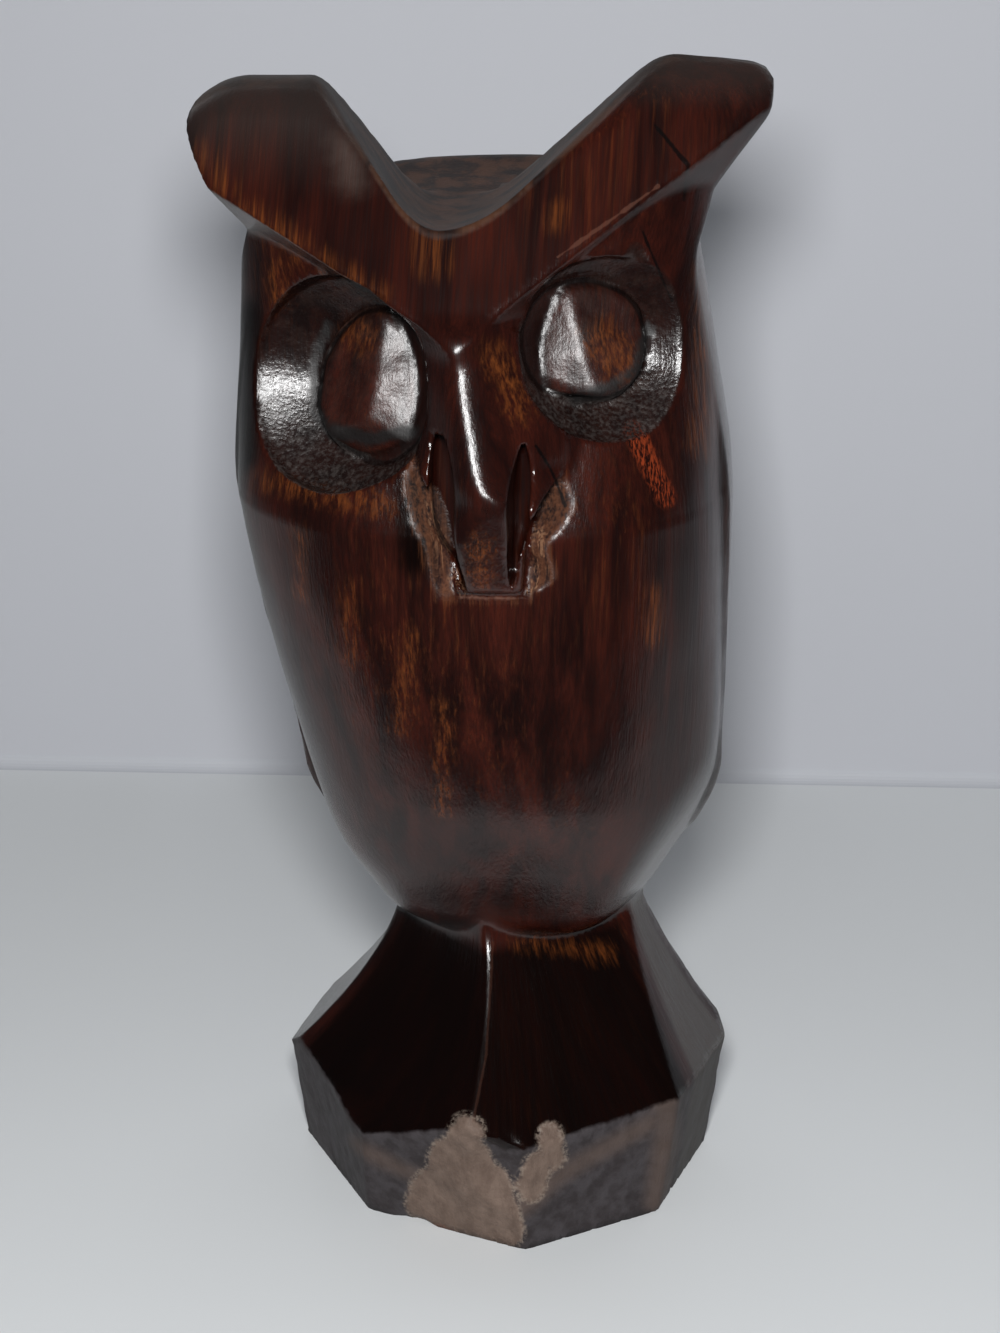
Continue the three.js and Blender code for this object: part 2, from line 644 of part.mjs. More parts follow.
const thin = ({ vertices, triangles }, target) => {
  const count = vertices.length;
  const quadrics = Array.from({ length: count }, () => new Float64Array(TERMS));
  const faces = triangles.map((t) => [...t]);
  const facesOf = Array.from({ length: count }, () => new Set());
  const alive = new Array(faces.length).fill(true);

  faces.forEach((face, f) => {
    const [a, b, c] = face.map((v) => vertices[v]);
    const across = cross(subtract(b, a), subtract(c, a));
    const size = length(across) || 1e-12;
    const normal = across.map((v) => v / size);
    const terms = planeTerms(normal, -dot(normal, a));
    for (const v of face) {
      facesOf[v].add(f);
      for (let m = 0; m < TERMS; m++) quadrics[v][m] += (size / 2) * terms[m];
    }
  });

  // The cheapest spot for an edge's two ends to fall together
  const best = (a, b) => {
    const q = quadrics[a].map((v, m) => v + quadrics[b][m]);
    const middle = vertices[a].map((v, c) => (v + vertices[b][c]) / 2);
    const pull = MIDPOINT_PULL * (q[0] + q[4] + q[7]);
    const rows = [[q[0] + pull, q[1], q[2]], [q[1], q[4] + pull, q[5]], [q[2], q[5], q[7] + pull]];
    const reach = [pull * middle[0] - q[3], pull * middle[1] - q[6], pull * middle[2] - q[8]];
    const spot = meetingPoint(rows, reach);
    const edge = length(subtract(vertices[a], vertices[b]));
    const fits = Number.isFinite(spot[0]) && length(subtract(spot, middle)) < edge;
    const point = fits ? spot : middle;
    return { point, cost: errorAt(q, point) + LENGTH_COST * edge * edge, q };
  };

  const heap = new Heap();
  const version = new Int32Array(count);
  const offer = (a, b) => heap.push({ ...best(a, b), a, b, stamp: version[a] + version[b] });
  const neighbours = (v) => {
    const found = new Set([...facesOf[v]].flatMap((f) => faces[f]));
    found.delete(v);
    return found;
  };
  for (let v = 0; v < count; v++) {
    for (const w of neighbours(v)) {
      if (v < w) offer(v, w);
    }
  }

  // A facet may not turn over or shrink to a sliver
  const keepsShape = (v, gone, point) => {
    for (const f of facesOf[v]) {
      if (facesOf[gone].has(f)) continue;
      const before = faces[f].map((w) => vertices[w]);
      const after = faces[f].map((w) => (w === v ? point : vertices[w]));
      const was = cross(subtract(before[1], before[0]), subtract(before[2], before[0]));
      const is = cross(subtract(after[1], after[0]), subtract(after[2], after[0]));
      const edges = [0, 1, 2].map((c) => length(subtract(after[c], after[(c + 1) % 3])));
      if (dot(was, is) < LEAST_TURN * length(was) * length(is)) return false;
      if (length(is) < LEAST_HEIGHT * Math.max(...edges) ** 2) return false;
    }
    return true;
  };

  let left = faces.length;
  const gone = -1e9;
  while (left > target && heap.items.length) {
    const { a, b, point, q, stamp } = heap.pop();
    if (version[a] < 0 || version[b] < 0 || stamp !== version[a] + version[b]) continue;
    const around = neighbours(a);
    const shared = [...neighbours(b)].filter((v) => around.has(v));
    if (shared.length !== 2) continue;
    if (!keepsShape(a, b, point) || !keepsShape(b, a, point)) continue;
    for (const f of [...facesOf[b]]) {
      if (facesOf[a].has(f)) {
        alive[f] = false;
        left--;
        for (const v of faces[f]) facesOf[v].delete(f);
      } else {
        faces[f][faces[f].indexOf(b)] = a;
        facesOf[a].add(f);
      }
    }
    vertices[a] = point;
    quadrics[a] = q;
    version[b] = gone;
    version[a]++;
    for (const v of neighbours(a)) offer(a, v);
  }
  return { vertices, triangles: faces.filter((_, f) => alive[f]) };
};

// Skin the carving, flatten its underside and number the vertices that are left

const LOW = [-46, -42, -3];
const HIGH = [44, 38, 170];
const CELL = 1.25;
const FACETS = 9400;
const NEAR_GROUND = 0.15;
const shell = thin(skin(owl, LOW, HIGH, CELL), FACETS);
const numbers = new Map();
const positions = [];
const indices = [];
for (const v of shell.triangles.flat()) {
  if (!numbers.has(v)) {
    const [x, y, z] = shell.vertices[v];
    numbers.set(v, numbers.size);
    positions.push(x, y, Math.abs(z) < NEAR_GROUND ? 0 : z);
  }
  indices.push(numbers.get(v));
}

// Stand it on the ground, with its origin in the middle of its width and depth
const geometry = new THREE.BufferGeometry();
geometry.setAttribute("position", new THREE.Float32BufferAttribute(positions, 3));
geometry.setIndex(indices);
geometry.computeBoundingBox();
const { min, max } = geometry.boundingBox;
geometry.translate(-(min.x + max.x) / 2, -(min.y + max.y) / 2, -min.z);
geometry.computeVertexNormals();

const ironwood = new THREE.MeshStandardMaterial({ color: 0x2b1a12, roughness: 0.28, metalness: 0 });
const carving = new THREE.Mesh(geometry, ironwood);
carving.name = "carved_owl";

const group = new THREE.Group();
group.name = "owl";
group.add(carving);

export default group;
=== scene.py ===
# A hand-carved ironwood owl on a rough faceted foot, on a pale table before a pale wall.
# Lengths in the carving are millimetres in the carver's frame: the owl looks along -Y, its
# own left side is at +X and it stands on z = 0. The names left and right are as seen from its
# front, so left is towards -X. The finished mesh is moved to the row frame.

import math
from itertools import product

import bpy
import numpy as np
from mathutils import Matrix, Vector


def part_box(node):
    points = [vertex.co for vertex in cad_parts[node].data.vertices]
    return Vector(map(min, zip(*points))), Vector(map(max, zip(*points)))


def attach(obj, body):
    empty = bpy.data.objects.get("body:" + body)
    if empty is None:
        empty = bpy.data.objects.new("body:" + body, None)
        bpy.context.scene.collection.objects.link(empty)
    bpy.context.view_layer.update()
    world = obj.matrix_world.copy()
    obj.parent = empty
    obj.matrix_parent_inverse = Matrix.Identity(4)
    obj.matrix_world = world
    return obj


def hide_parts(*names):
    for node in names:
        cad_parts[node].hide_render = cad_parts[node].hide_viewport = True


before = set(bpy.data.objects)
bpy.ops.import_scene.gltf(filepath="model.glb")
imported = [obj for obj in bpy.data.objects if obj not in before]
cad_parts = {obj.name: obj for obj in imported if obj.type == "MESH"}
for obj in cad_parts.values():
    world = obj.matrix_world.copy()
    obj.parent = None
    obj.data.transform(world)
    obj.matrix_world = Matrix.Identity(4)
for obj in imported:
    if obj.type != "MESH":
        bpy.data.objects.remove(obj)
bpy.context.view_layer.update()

MM = 0.001


def add_object(name, data):
    thing = bpy.data.objects.new(name, data)
    bpy.context.scene.collection.objects.link(thing)
    return thing


# Driving dimensions
FACE_BOTTOM = 106.5
BROW_BOTTOM = 132.0
BROW_FRONT = -30.2
RIDGE_X = -2.4
NOTCH = 145.5
BELLY_BOTTOM = 41.0
WAIST = 43.0
RIM = 19.0

# Rounds as cut where two surfaces meet, and how many times rounder wear has made each of them
CRISP = 0.4
SOFT = 1.0
ROUND = 2.4
WIDE = 4.5
WEAR = 1.1

# The least length that anything is divided by
TINY = 1e-9


# Smooth joins of two fields, negative inside the wood, with r the round left at the corner


def join(a, b, r):
    r = r * WEAR
    h = np.maximum(r - np.abs(a - b), 0) / r
    return np.minimum(a, b) - h * h * r / 4


def both(a, b, r):
    return -join(-a, -b, r)


def without(a, b, r):
    return both(a, -b, r)


def smooth_abs(t, r):
    return np.sqrt(t * t + r * r) - r


def ease(t):
    c = np.clip(t, 0, 1)
    return c * c * (3 - 2 * c)


def unit(v):
    v = np.asarray(v, float)
    return v / np.linalg.norm(v)


def plane(point, normal):
    """The wood is behind the plane, against its normal."""
    n = unit(normal)
    d = n @ np.asarray(point, float)
    return lambda x, y, z: n[0] * x + n[1] * y + n[2] * z - d


def plane_through(start, end, along, outward):
    """A plane through an edge line and one more direction in it."""
    n = np.cross(np.subtract(end, start), along)
    return plane(start, n if n @ np.asarray(outward, float) > 0 else -n)


def ellipsoid(centre, size):
    def field(x, y, z):
        u, v, w = ((p - c) / s for p, c, s in zip((x, y, z), centre, size))
        k = np.sqrt(u * u + v * v + w * w)
        g = np.sqrt((u / size[0]) ** 2 + (v / size[1]) ** 2 + (w / size[2]) ** 2)
        return k * (k - 1) / np.maximum(g, TINY)

    return field


# How many places a curve through stations is worked out at
CURVE_PLACES = 2000


def station_values(stations):
    """A smooth curve through a table of heights and values, as a function of height."""
    table = np.asarray(stations, float)
    heights, values = table[:, 0], table[:, 1:]
    last = len(heights) - 1
    ends = [(max(k - 1, 0), min(k + 1, last)) for k in range(last + 1)]
    slopes = np.array([(values[b] - values[a]) / (heights[b] - heights[a]) for a, b in ends])
    fine = np.linspace(heights[0], heights[-1], CURVE_PLACES)
    i = np.clip(np.searchsorted(heights, fine, "right") - 1, 0, last - 1)
    span = heights[i + 1] - heights[i]
    t = ((fine - heights[i]) / span)[:, None]
    leaving = slopes[i] * span[:, None] * t * (1 - t) ** 2
    arriving = slopes[i + 1] * span[:, None] * t**2 * (1 - t)
    curve = values[i] + (values[i + 1] - values[i]) * ease(t) + leaving - arriving
    return lambda z: [np.interp(z, fine, column) for column in curve.T]


# Squareness of the sections, and the least share of their radius that they are worked out at
SECTION_POWER = 2.4
SECTION_MIDDLE = 1e-6


def section(x, y, edges):
    """A rounded-square section, fuller than an ellipse."""
    left, right, front, back = edges
    a = (right - left) / 2
    b = (back - front) / 2
    u = np.abs(x - (left + right) / 2) / a
    v = np.abs(y - (front + back) / 2) / b
    k = np.maximum((u**SECTION_POWER + v**SECTION_POWER) ** (1 / SECTION_POWER), SECTION_MIDDLE)
    steep = np.hypot(u ** (SECTION_POWER - 1) / a, v ** (SECTION_POWER - 1) / b)
    return (k - 1) * k ** (SECTION_POWER - 1) / np.maximum(steep, TINY)


# The stock of body and head: height, then left, right, front and back of the section
STOCK = station_values([
    [30, -15, 19.6, -13, 16],
    [38, -14.8, 20.8, -13, 16.5],
    [44, -17.5, 23.4, -15.2, 17.5],
    [54, -23.8, 28.6, -19.4, 22],
    [66, -27.6, 31.4, -24, 26.5],
    [88, -33, 31.8, -28.6, 30.5],
    [106.5, -36.4, 31.4, -30.2, 31],
    [121, -38.4, 30.4, -31, 30],
    [133, -37, 28.4, -31, 28.4],
    [141.5, -34, 26.8, -30, 27],
    [148, -31.5, 24.8, -29, 25.6],
])

# The stock of the two ears, which is wider and lies only over the front half of the head
EAR_BOTTOM = 128
EAR_STOCK = station_values([
    [128, -31, 25, -30, 0],
    [136, -32.6, 26.6, -30, 4],
    [142, -33.8, 27.8, -30, 7],
    [150, -38, 31.8, -30, 9],
    [158, -41.8, 38, -28, 9],
    [167, -43.2, 41.8, -24, 9],
])

# The crown's floor, which rises a little to the back and the right and is dished in front
FLOOR_BACK = 0.04
FLOOR_RIGHT = 0.03
FLOOR_LEVEL_X = -5
DISH_DEPTH = 2.4
DISH_REACH = 24

# Ears: flat tops that fall away backwards, and the flanks of the notch between them
LEFT_EAR = {"top": 162.4, "rise": 0.02, "corner": 33, "edge": -0.5, "drop": 0.05}
RIGHT_EAR = {"top": 164.9, "rise": 0.02, "corner": 36, "edge": 1, "drop": 0.3}
EAR_BACK_SLOPE = 2.4
NOTCH_LEFT = {"start": -8.8, "steepness": 1.45, "turn": 0.1, "pivot": -21}
NOTCH_RIGHT = {"start": -0.8, "steepness": 0.93}
TOP_STEEPNESS = 0.72


def crown_floor(x, y):
    dish = DISH_DEPTH * np.maximum(1 - (y / DISH_REACH) ** 2, 0)
    return NOTCH + FLOOR_BACK * (y + DISH_REACH) + FLOOR_RIGHT * (x - FLOOR_LEVEL_X) - dish


def ear_top(x, y, top, rise, corner, edge, drop):
    outer = top - drop * np.maximum(np.abs(x) - corner, 0) ** 2
    return join(outer + rise * x, top - EAR_BACK_SLOPE * (y - edge), WIDE)


def crown_top(x, y):
    floor = crown_floor(x, y)
    turned = NOTCH_LEFT["turn"] * (y - NOTCH_LEFT["pivot"])
    left = NOTCH_LEFT["steepness"] * (NOTCH_LEFT["start"] - x - turned)
    right = NOTCH_RIGHT["steepness"] * (x - NOTCH_RIGHT["start"])
    ear = np.where(x < NOTCH_RIGHT["start"], ear_top(x, y, **LEFT_EAR), ear_top(x, y, **RIGHT_EAR))
    above = join(np.maximum(left, right), ear - floor, ROUND)
    return floor - join(0, -above, WIDE)


def under_crown(x, y, z):
    return TOP_STEEPNESS * (z - crown_top(x, y))


def blank(x, y, z):
    """The head before the face is cut: only the ears rise past the crown's floor."""
    head = both(section(x, y, STOCK(z)), z - crown_floor(x, y) - ROUND, ROUND)
    ears = both(section(x, y, EAR_STOCK(z)), EAR_BOTTOM - z, SOFT)
    return both(join(head, ears, SOFT), under_crown(x, y, z), ROUND)


# Brow: one front that leans back and is swept back to both sides from the ridge over the nose
BROW_SWEEP = 0.19
BROW_SKEW = 0.06
BROW_LEAN = 0.64
BROW_RIDGE = 6
EAR_ROUND = {"start": 150, "over": 10, "size": 3.2}
UNDER_BROW = [
    plane_through([-3, BROW_FRONT, 131.9], [-30.8, -18.5, 146.1], [0, 0.88, -0.47], [0, 0, -1]),
    plane_through([-2.2, BROW_FRONT, 131.9], [25.7, -11.4, 152], [0.05, 0.72, -0.69], [0, 0, -1]),
]


def brow_front(x, y, z):
    off = x - RIDGE_X
    swept = BROW_SWEEP * smooth_abs(off, BROW_RIDGE) + BROW_SKEW * off
    front = BROW_FRONT + swept + BROW_LEAN * (z - BROW_BOTTOM)
    return (front - y) / math.sqrt(1 + BROW_SWEEP**2 + BROW_LEAN**2)


def brow_round(z):
    return CRISP + EAR_ROUND["size"] * ease((z - EAR_ROUND["start"]) / EAR_ROUND["over"])


# Face: the stock's own section, leaning back above the face's bottom edge
FACE_LEAN = 0.26
FACE_SECTION = STOCK(FACE_BOTTOM)


def face_front(x, y, z):
    return section(x, y - FACE_LEAN * (z - FACE_BOTTOM), FACE_SECTION)


def face_zone(x, y, z):
    left, right = (-under(x, y, z) for under in UNDER_BROW)
    return both(np.where(x < RIDGE_X, left, right), FACE_BOTTOM - z, CRISP)


# Nose ridge and beak: height, then x along the crest, half width, skew of the flanks and the
# round where they run out into the face
NOSE = station_values([
    [99, 4.2, 4.3, -0.2, 0.6],
    [108, 3.7, 5.2, -0.2, 0.6],
    [112, 3.3, 6.8, -0.2, 0.6],
    [115.2, 1.5, 9, -0.16, 1.4],
    [117.5, 0.3, 9.2, 0.05, 2.3],
    [121, -0.7, 9.2, 0.2, 2.8],
    [127, -1.9, 9.2, 0.2, 2.8],
    [133, -2.5, 9.2, 0.2, 2.8],
])
NOSE_LEAN = 0.34
NOSE_SPREAD = 1.05
NOSE_CREST = 1.7
NOSE_MIDDLE = 1.7
NOSE_BACK = -18
BEAK_TIP = [3, -37.2, 113.3]
BEAK_BOTTOM = 99.2
BEAK_FRONT = plane(BEAK_TIP, [0.08, -1, -0.45])

# The pocket round the beak, whose walls slope in: height, then x of its left and right edges
POCKET = station_values([
    [98.8, -4.8, 6.6],
    [101, -5.6, 9.6],
    [105.6, -6.6, 8.8],
    [108, -7.6, 10.6],
    [110.6, -8.4, 11.8],
    [114.2, -8.9, 10.6],
    [118.2, -7.5, 8.9],
    [121, -5.4, 6],
    [124, 0, 0],
])
POCKET_BOTTOM = 98.8
POCKET_END_SLOPE = 0.8
POCKET_SLOPE = 0.62
POCKET_DEPTH = 2.6

# Slots down both sides of the beak: height, then x of the left and right walls
LEFT_SLOT = station_values([
    [99.6, -1.6, -1],
    [103, -3, -1.6],
    [106, -4.8, -2.1],
    [110, -5.9, -2.4],
    [115, -6, -2.3],
    [118, -5.8, -2.9],
    [120.6, -5.2, -3.8],
])
RIGHT_SLOT = station_values([
    [100.4, 4.5, 5],
    [104, 4.4, 5.6],
    [108, 4.6, 6.8],
    [112, 4.6, 7.3],
    [115.5, 4.8, 7.2],
    [118, 5.4, 6.9],
    [119.6, 5.9, 6.5],
])
SLOT_FLOOR = -26


def beak(x, y, z):
    """The beak and nose ridge, and the round where they run out into the face."""
    crest_x, half, skew, fillet = NOSE(z)
    off = x - crest_x
    crest = BEAK_TIP[1] + NOSE_LEAN * (z - BEAK_TIP[2])
    flanks = crest + NOSE_SPREAD * smooth_abs(off, NOSE_CREST) - skew * off - y
    ends = both(y - NOSE_BACK, BEAK_BOTTOM - z, SOFT)
    reach = both(np.abs(x - NOSE_MIDDLE) - half, ends, SOFT)
    ridge = both(flanks / math.hypot(1, NOSE_SPREAD), reach, CRISP)
    return both(both(ridge, BEAK_FRONT(x, y, z), SOFT), z - BROW_BOTTOM - SOFT, SOFT), fillet


def pocket_inside(x, z):
    """How far inside the pocket's outline a place on the face is."""
    left, right = POCKET(z)
    return np.minimum(np.minimum(x - left, right - x), POCKET_END_SLOPE * (z - POCKET_BOTTOM))


def pocketed(wood, x, y, z):
    inward = pocket_inside(x, z)
    depth = np.minimum(POCKET_SLOPE * inward, POCKET_DEPTH)
    return np.where(y < 0, np.maximum(wood, np.minimum(inward, wood + depth)), wood)


def slot(walls, low, top):
    def field(x, y, z):
        left, right = walls(z)
        across = np.maximum(left - x, x - right)
        ends = both(z - top, low - z, CRISP)
        return both(both(across, y - SLOT_FLOOR, CRISP), ends, CRISP)

    return field


SLOTS = [slot(LEFT_SLOT, 99.6, 120.6), slot(RIGHT_SLOT, 100.4, 119.6)]


# Eyes: a dished band cut into the face round a faceted eyeball that is left standing in it.
# The shares bring the fields of band and ball down to about a distance in millimetres.
BAND_CURVE = 1.4
BAND_END = 1.06
BAND_SHARE = 0.75
BALL_TAPER = 0.03
BALL_SHARE = 0.9
EYE_LEAN = 0.26

# A place this near a socket's surface is on it, and distances to an edge are told up to a reach
ON_SOCKET = 0.2
EDGE_REACH = 3


class Eye:
    def __init__(self, centre, radii, depth, ball_at, ball_radii, turn, facets):
        self.centre = centre
        self.radii = radii
        self.depth = depth
        self.ball_at = ball_at
        self.ball_radii = ball_radii
        self.out = unit([math.sin(turn), -math.cos(turn), EYE_LEAN])
        self.side = np.array([math.cos(turn), math.sin(turn), 0])
        self.up = unit(np.cross(self.out, self.side))
        self.facets = [plane(at, facing) for at, facing in facets]

    def local(self, x, y, z):
        p = [x - self.centre[0], y - self.centre[1], z - self.centre[2]]
        return [sum(a * b for a, b in zip(p, axis)) for axis in (self.side, self.up, self.out)]

    def socket(self, x, y, z):
        s, u, o = self.local(x, y, z)
        across = np.hypot(s / self.radii[0], u / self.radii[1])
        floor = self.depth * (across**BAND_CURVE - 1)
        return both(BAND_SHARE * (floor - o), self.radii[1] * (across - BAND_END), CRISP)

    def past_ball(self, s, u):
        """How far outside the ball's outline a place is, as a share of its radius."""
        across = (s - self.ball_at[0]) / self.ball_radii[0]
        up = (u - self.ball_at[1]) / self.ball_radii[1]
        return np.hypot(across, up) - 1

    def ball(self, x, y, z):
        s, u, o = self.local(x, y, z)
        shape = BALL_SHARE * min(self.ball_radii) * (self.past_ball(s, u) + BALL_TAPER * o)
        for cut in self.facets:
            shape = both(shape, cut(s, u, o), CRISP)
        return shape

    def on_ball(self, x, y, z):
        """How far inside the ball's outline a place in the socket is, in millimetres."""
        s, u, _ = self.local(x, y, z)
        inside = -min(self.ball_radii) * self.past_ball(s, u)
        return np.where(self.socket(x, y, z) < ON_SOCKET, inside, -EDGE_REACH)


LEFT_EYE = Eye(
    centre=[-18.4, -19.6, 123.9],
    radii=[13.6, 13.3],
    depth=7.2,
    ball_at=[3.6, 0.6],
    ball_radii=[9.3, 9.9],
    turn=-0.46,
    facets=[
        ([4.6, 0, 0.4], [0.5, 0.12, 1]),
        ([4.6, 0, 0.4], [-0.2, 0.1, 1]),
        ([4, -5, 0.2], [0.1, -0.7, 1]),
    ],
)
RIGHT_EYE = Eye(
    centre=[16.3, -19.2, 129.5],
    radii=[12.2, 11.2],
    depth=6.2,
    ball_at=[-2.6, 1.4],
    ball_radii=[8.6, 7.8],
    turn=0.46,
    facets=[
        ([-3.8, 0, 0.4], [-0.5, 0.05, 1]),
        ([-3.8, 0, 0.4], [0.12, 0.14, 1]),
    ],
)
EYES = [LEFT_EYE, RIGHT_EYE]

# A slipped cut runs out of the right socket's top
NICK = ellipsoid([20.2, -18.6, 140.5], [2.3, 3.4, 5])

# Flanks: folded wings that stand a little proud, and the flat cut under the right one
WING = station_values([
    [44, -20, 24, -18, 20],
    [56, -27.6, 31.2, -20, 24.5],
    [70, -30.4, 31.9, -24, 28.8],
    [88, -34.2, 32.4, -27, 31.8],
    [106.5, -36.8, 32.4, -28.5, 31.8],
    [118, -36, 30.8, -28, 30.2],
    [130, -34, 27, -26, 27.2],
])
WING_FRONT = -5
WING_FRONT_LEAN = 0.16
WING_UNDER = {"z": 56, "left": 27.8, "right": 36, "angle": math.radians(30)}
WING_TIP = {"z": 50, "y": 8, "slope": 0.4}
WING_TOP = 129
LOWER_RIGHT_CUT = plane([31.4, 5, 58], [0.82, -0.3, -0.5])


def wings(x, y, z):
    outer = section(x, y, WING(z))
    front = WING_FRONT + WING_FRONT_LEAN * (FACE_BOTTOM - z) - y
    reach = np.where(x > 0, WING_UNDER["right"], WING_UNDER["left"])
    out = math.cos(WING_UNDER["angle"]) * (np.abs(x) - reach)
    under = out - math.sin(WING_UNDER["angle"]) * (z - WING_UNDER["z"])
    tip = np.maximum(under, WING_TIP["z"] - WING_TIP["slope"] * (y - WING_TIP["y"]) - z)
    return both(both(outer, front, SOFT), both(tip, z - WING_TOP, SOFT), SOFT)


# Tail: a flat wedge down the back to the foot, which narrows and comes forward to its tip
TAIL = {"back": 27.5, "front": 8, "x": 2, "half": 12, "top": 84, "bottom": 12}
TAIL_TAPER = {"start": 70, "forward": 0.12, "narrower": 0.06}


def tail(x, y, z):
    down = TAIL_TAPER["start"] - z
    back = y - TAIL["back"] + TAIL_TAPER["forward"] * down
    width = np.abs(x - TAIL["x"]) - TAIL["half"] + TAIL_TAPER["narrower"] * down
    ends = both(z - TAIL["top"], TAIL["bottom"] - z, SOFT)
    return both(both(back, width, ROUND), both(TAIL["front"] - y, ends, SOFT), ROUND)


# Foot: flared facets as azimuth, reach at the waist, reach at the rim and bend, then the rough
# upright faces under them as azimuth, reach at the ground and reach at the rim
FLARE = [
    (-45, 11.6, 26.1, 1.5),
    (31, 13.3, 29.6, 1.2),
    (74, 19.6, 31.5, 1.25),
    (128, 18, 31, 1.2),
    (176, 18, 31.5, 1.3),
    (-138, 16, 30, 1.3),
    (-98, 14.5, 29.3, 1.6),
]
SIDES = [
    (-59.6, 25.2, 28.3),
    (-20.2, 25.2, 30.6),
    (34.6, 27.9, 30.2),
    (74.1, 28.5, 31.6),
    (120, 29.5, 31),
    (164, 29, 31),
    (-150, 28, 30),
    (-104, 29.6, 31),
]

# Chips out of the foot: a notch in the front rim, the rough hollow below it and a nick in the
# bottom edge
CHIPS = [
    ellipsoid([5.4, -34, 20.4], [3, 3, 3.6]),
    ellipsoid([3, -40, 11], [13, 10.2, 13]),
    ellipsoid([-12, -25.4, -0.4], [5.4, 3.4, 2]),
]

INTO_BODY = 10
FLARE_SHARE = 0.8


def outwards(azimuth, x, y):
    a = math.radians(azimuth)
    return x * math.sin(a) - y * math.cos(a)


def all_of(fields, r):
    shape = fields[0]
    for field in fields[1:]:
        shape = both(shape, field, r)
    return shape


def flare(x, y, z):
    t = (WAIST - z) / (WAIST - RIM)
    facets = []
    for azimuth, waist, rim, bend in FLARE:
        flared = waist + (rim - waist) * np.maximum(t, 0) ** bend
        reach = np.where(t > 0, flared, waist + INTO_BODY * t)
        facets.append(FLARE_SHARE * (outwards(azimuth, x, y) - reach))
    return all_of(facets, CRISP)


def foot_sides(x, y, z):
    faces = []
    for azimuth, ground, rim in SIDES:
        faces.append(outwards(azimuth, x, y) - ground - (rim - ground) * z / RIM)
    return all_of(faces, CRISP)


def foot(x, y, z):
    block = both(both(flare(x, y, z), foot_sides(x, y, z), CRISP), -z, CRISP)
    for chip in CHIPS:
        block = without(block, chip(x, y, z), CRISP)
    return block


def owl(x, y, z):
    """The whole carving."""
    wood = both(blank(x, y, z), brow_front(x, y, z), brow_round(z))
    wood = both(wood, join(face_front(x, y, z), -face_zone(x, y, z), CRISP), CRISP)
    wood = join(pocketed(wood, x, y, z), *beak(x, y, z))
    for cut in SLOTS:
        wood = without(wood, cut(x, y, z), CRISP)
    for eye in EYES:
        hollow = without(eye.socket(x, y, z), eye.ball(x, y, z), CRISP)
        wood = without(wood, hollow, CRISP)
    wood = without(wood, NICK(x, y, z), CRISP)
    wood = both(join(wood, wings(x, y, z), SOFT), LOWER_RIGHT_CUT(x, y, z), ROUND)
    wood = both(wood, BELLY_BOTTOM - z, WIDE)
    wood = join(wood, tail(x, y, z), SOFT)
    return join(wood, foot(x, y, z), SOFT)


# Skinning on a box grid whose cells are finest at the face. Every grid line that the surface
# crosses gives a point and a slope, and each cell round it one corner where those slopes meet.
STEP_GROWTH = 0.12
SLOPE_STEP = 0.02
UNTANGLE_ROUNDS = 20
TOUCH = 1e-6
HALVINGS = 9
CENTRE_PULL = 0.06
CORNER_ROOM = 0.7
CUBE_CORNERS = list(product((0, 1), repeat=3))


def ticks(low, high, zones, coarse):
    """Grid positions from low to high, with a finer step inside each zone."""
    at = [low]
    while at[-1] < high:
        step = coarse
        for start, end, fine in zones:
            outside = max(start - at[-1], at[-1] - end, 0)
            step = min(step, fine + STEP_GROWTH * outside)
        at.append(at[-1] + step)
    return np.array(at)


# Along x, y and z: the ends, the zones with finer steps and the step elsewhere
GRID = [
    ticks(-45.5, 43, [], 0.82),
    ticks(-41, 36.5, [(-41, -6, 0.7)], 1.3),
    ticks(-2.5, 169, [(98, 146, 0.66)], 1.1),
]


def sample(field, grid):
    """The field's value at every grid corner, a layer at a time."""
    x, y = np.meshgrid(grid[0], grid[1], indexing="ij")
    layers = [field(x, y, np.full_like(x, height)) for height in grid[2]]
    return np.stack(layers, axis=2)


def unit_rows(rows):
    return rows / np.maximum(np.linalg.norm(rows, axis=1, keepdims=True), TINY)


def slope_at(field, p):
    rise = [field(*(p + step).T) - field(*(p - step).T) for step in SLOPE_STEP * np.eye(3)]
    return unit_rows(np.stack(rise, axis=1))


def strides(values):
    """How far apart the grid's neighbours along each axis are once it is flattened."""
    _, across, up = values.shape
    return np.array([across * up, up, 1])


def around(axis, stride):
    """The strides along the two other axes."""
    return stride[(axis + 1) % 3], stride[(axis + 2) % 3]


def untangle(values):
    """Where inside and outside meet only corner to corner, the corner nearest the surface
    changes side, so that no two sheets of the skin ever share a line."""
    flat = values.reshape(-1)
    stride = strides(values)

    def flip(corners):
        near = np.argmin(np.abs(flat[corners]), axis=1)
        chosen = np.unique(corners[np.arange(len(corners)), near])
        flat[chosen] = np.where(flat[chosen] < 0, TOUCH, -TOUCH)
        return len(chosen)

    inner = np.arange(flat.size).reshape(values.shape)[:-1, :-1, :-1].reshape(-1)
    cubes = inner[:, None] + np.array(CUBE_CORNERS) @ stride
    for _ in range(UNTANGLE_ROUNDS):
        side = flat[cubes] < 0
        cube = cubes[(side != side[:, :1]).any(axis=1)]
        near = cube[:, 0]
        changed = 0
        for axis in range(3):
            u, v = around(axis, stride)
            ring = np.stack([near, near + u, near + u + v, near + v], axis=1)
            a, b, c, d = (flat[ring] < 0).T
            changed += flip(ring[(a == c) & (b == d) & (a != b)])
        side = flat[cube] < 0
        count = side.sum(axis=1)
        for rare, lone in ((True, count == 2), (False, count == 6)):
            for first, last in ((0, 7), (3, 4), (2, 5), (1, 6)):
                pair = lone & (side[:, first] == rare) & (side[:, last] == rare)
                changed += flip(cube[pair][:, [first, last]])
        if not changed:
            return


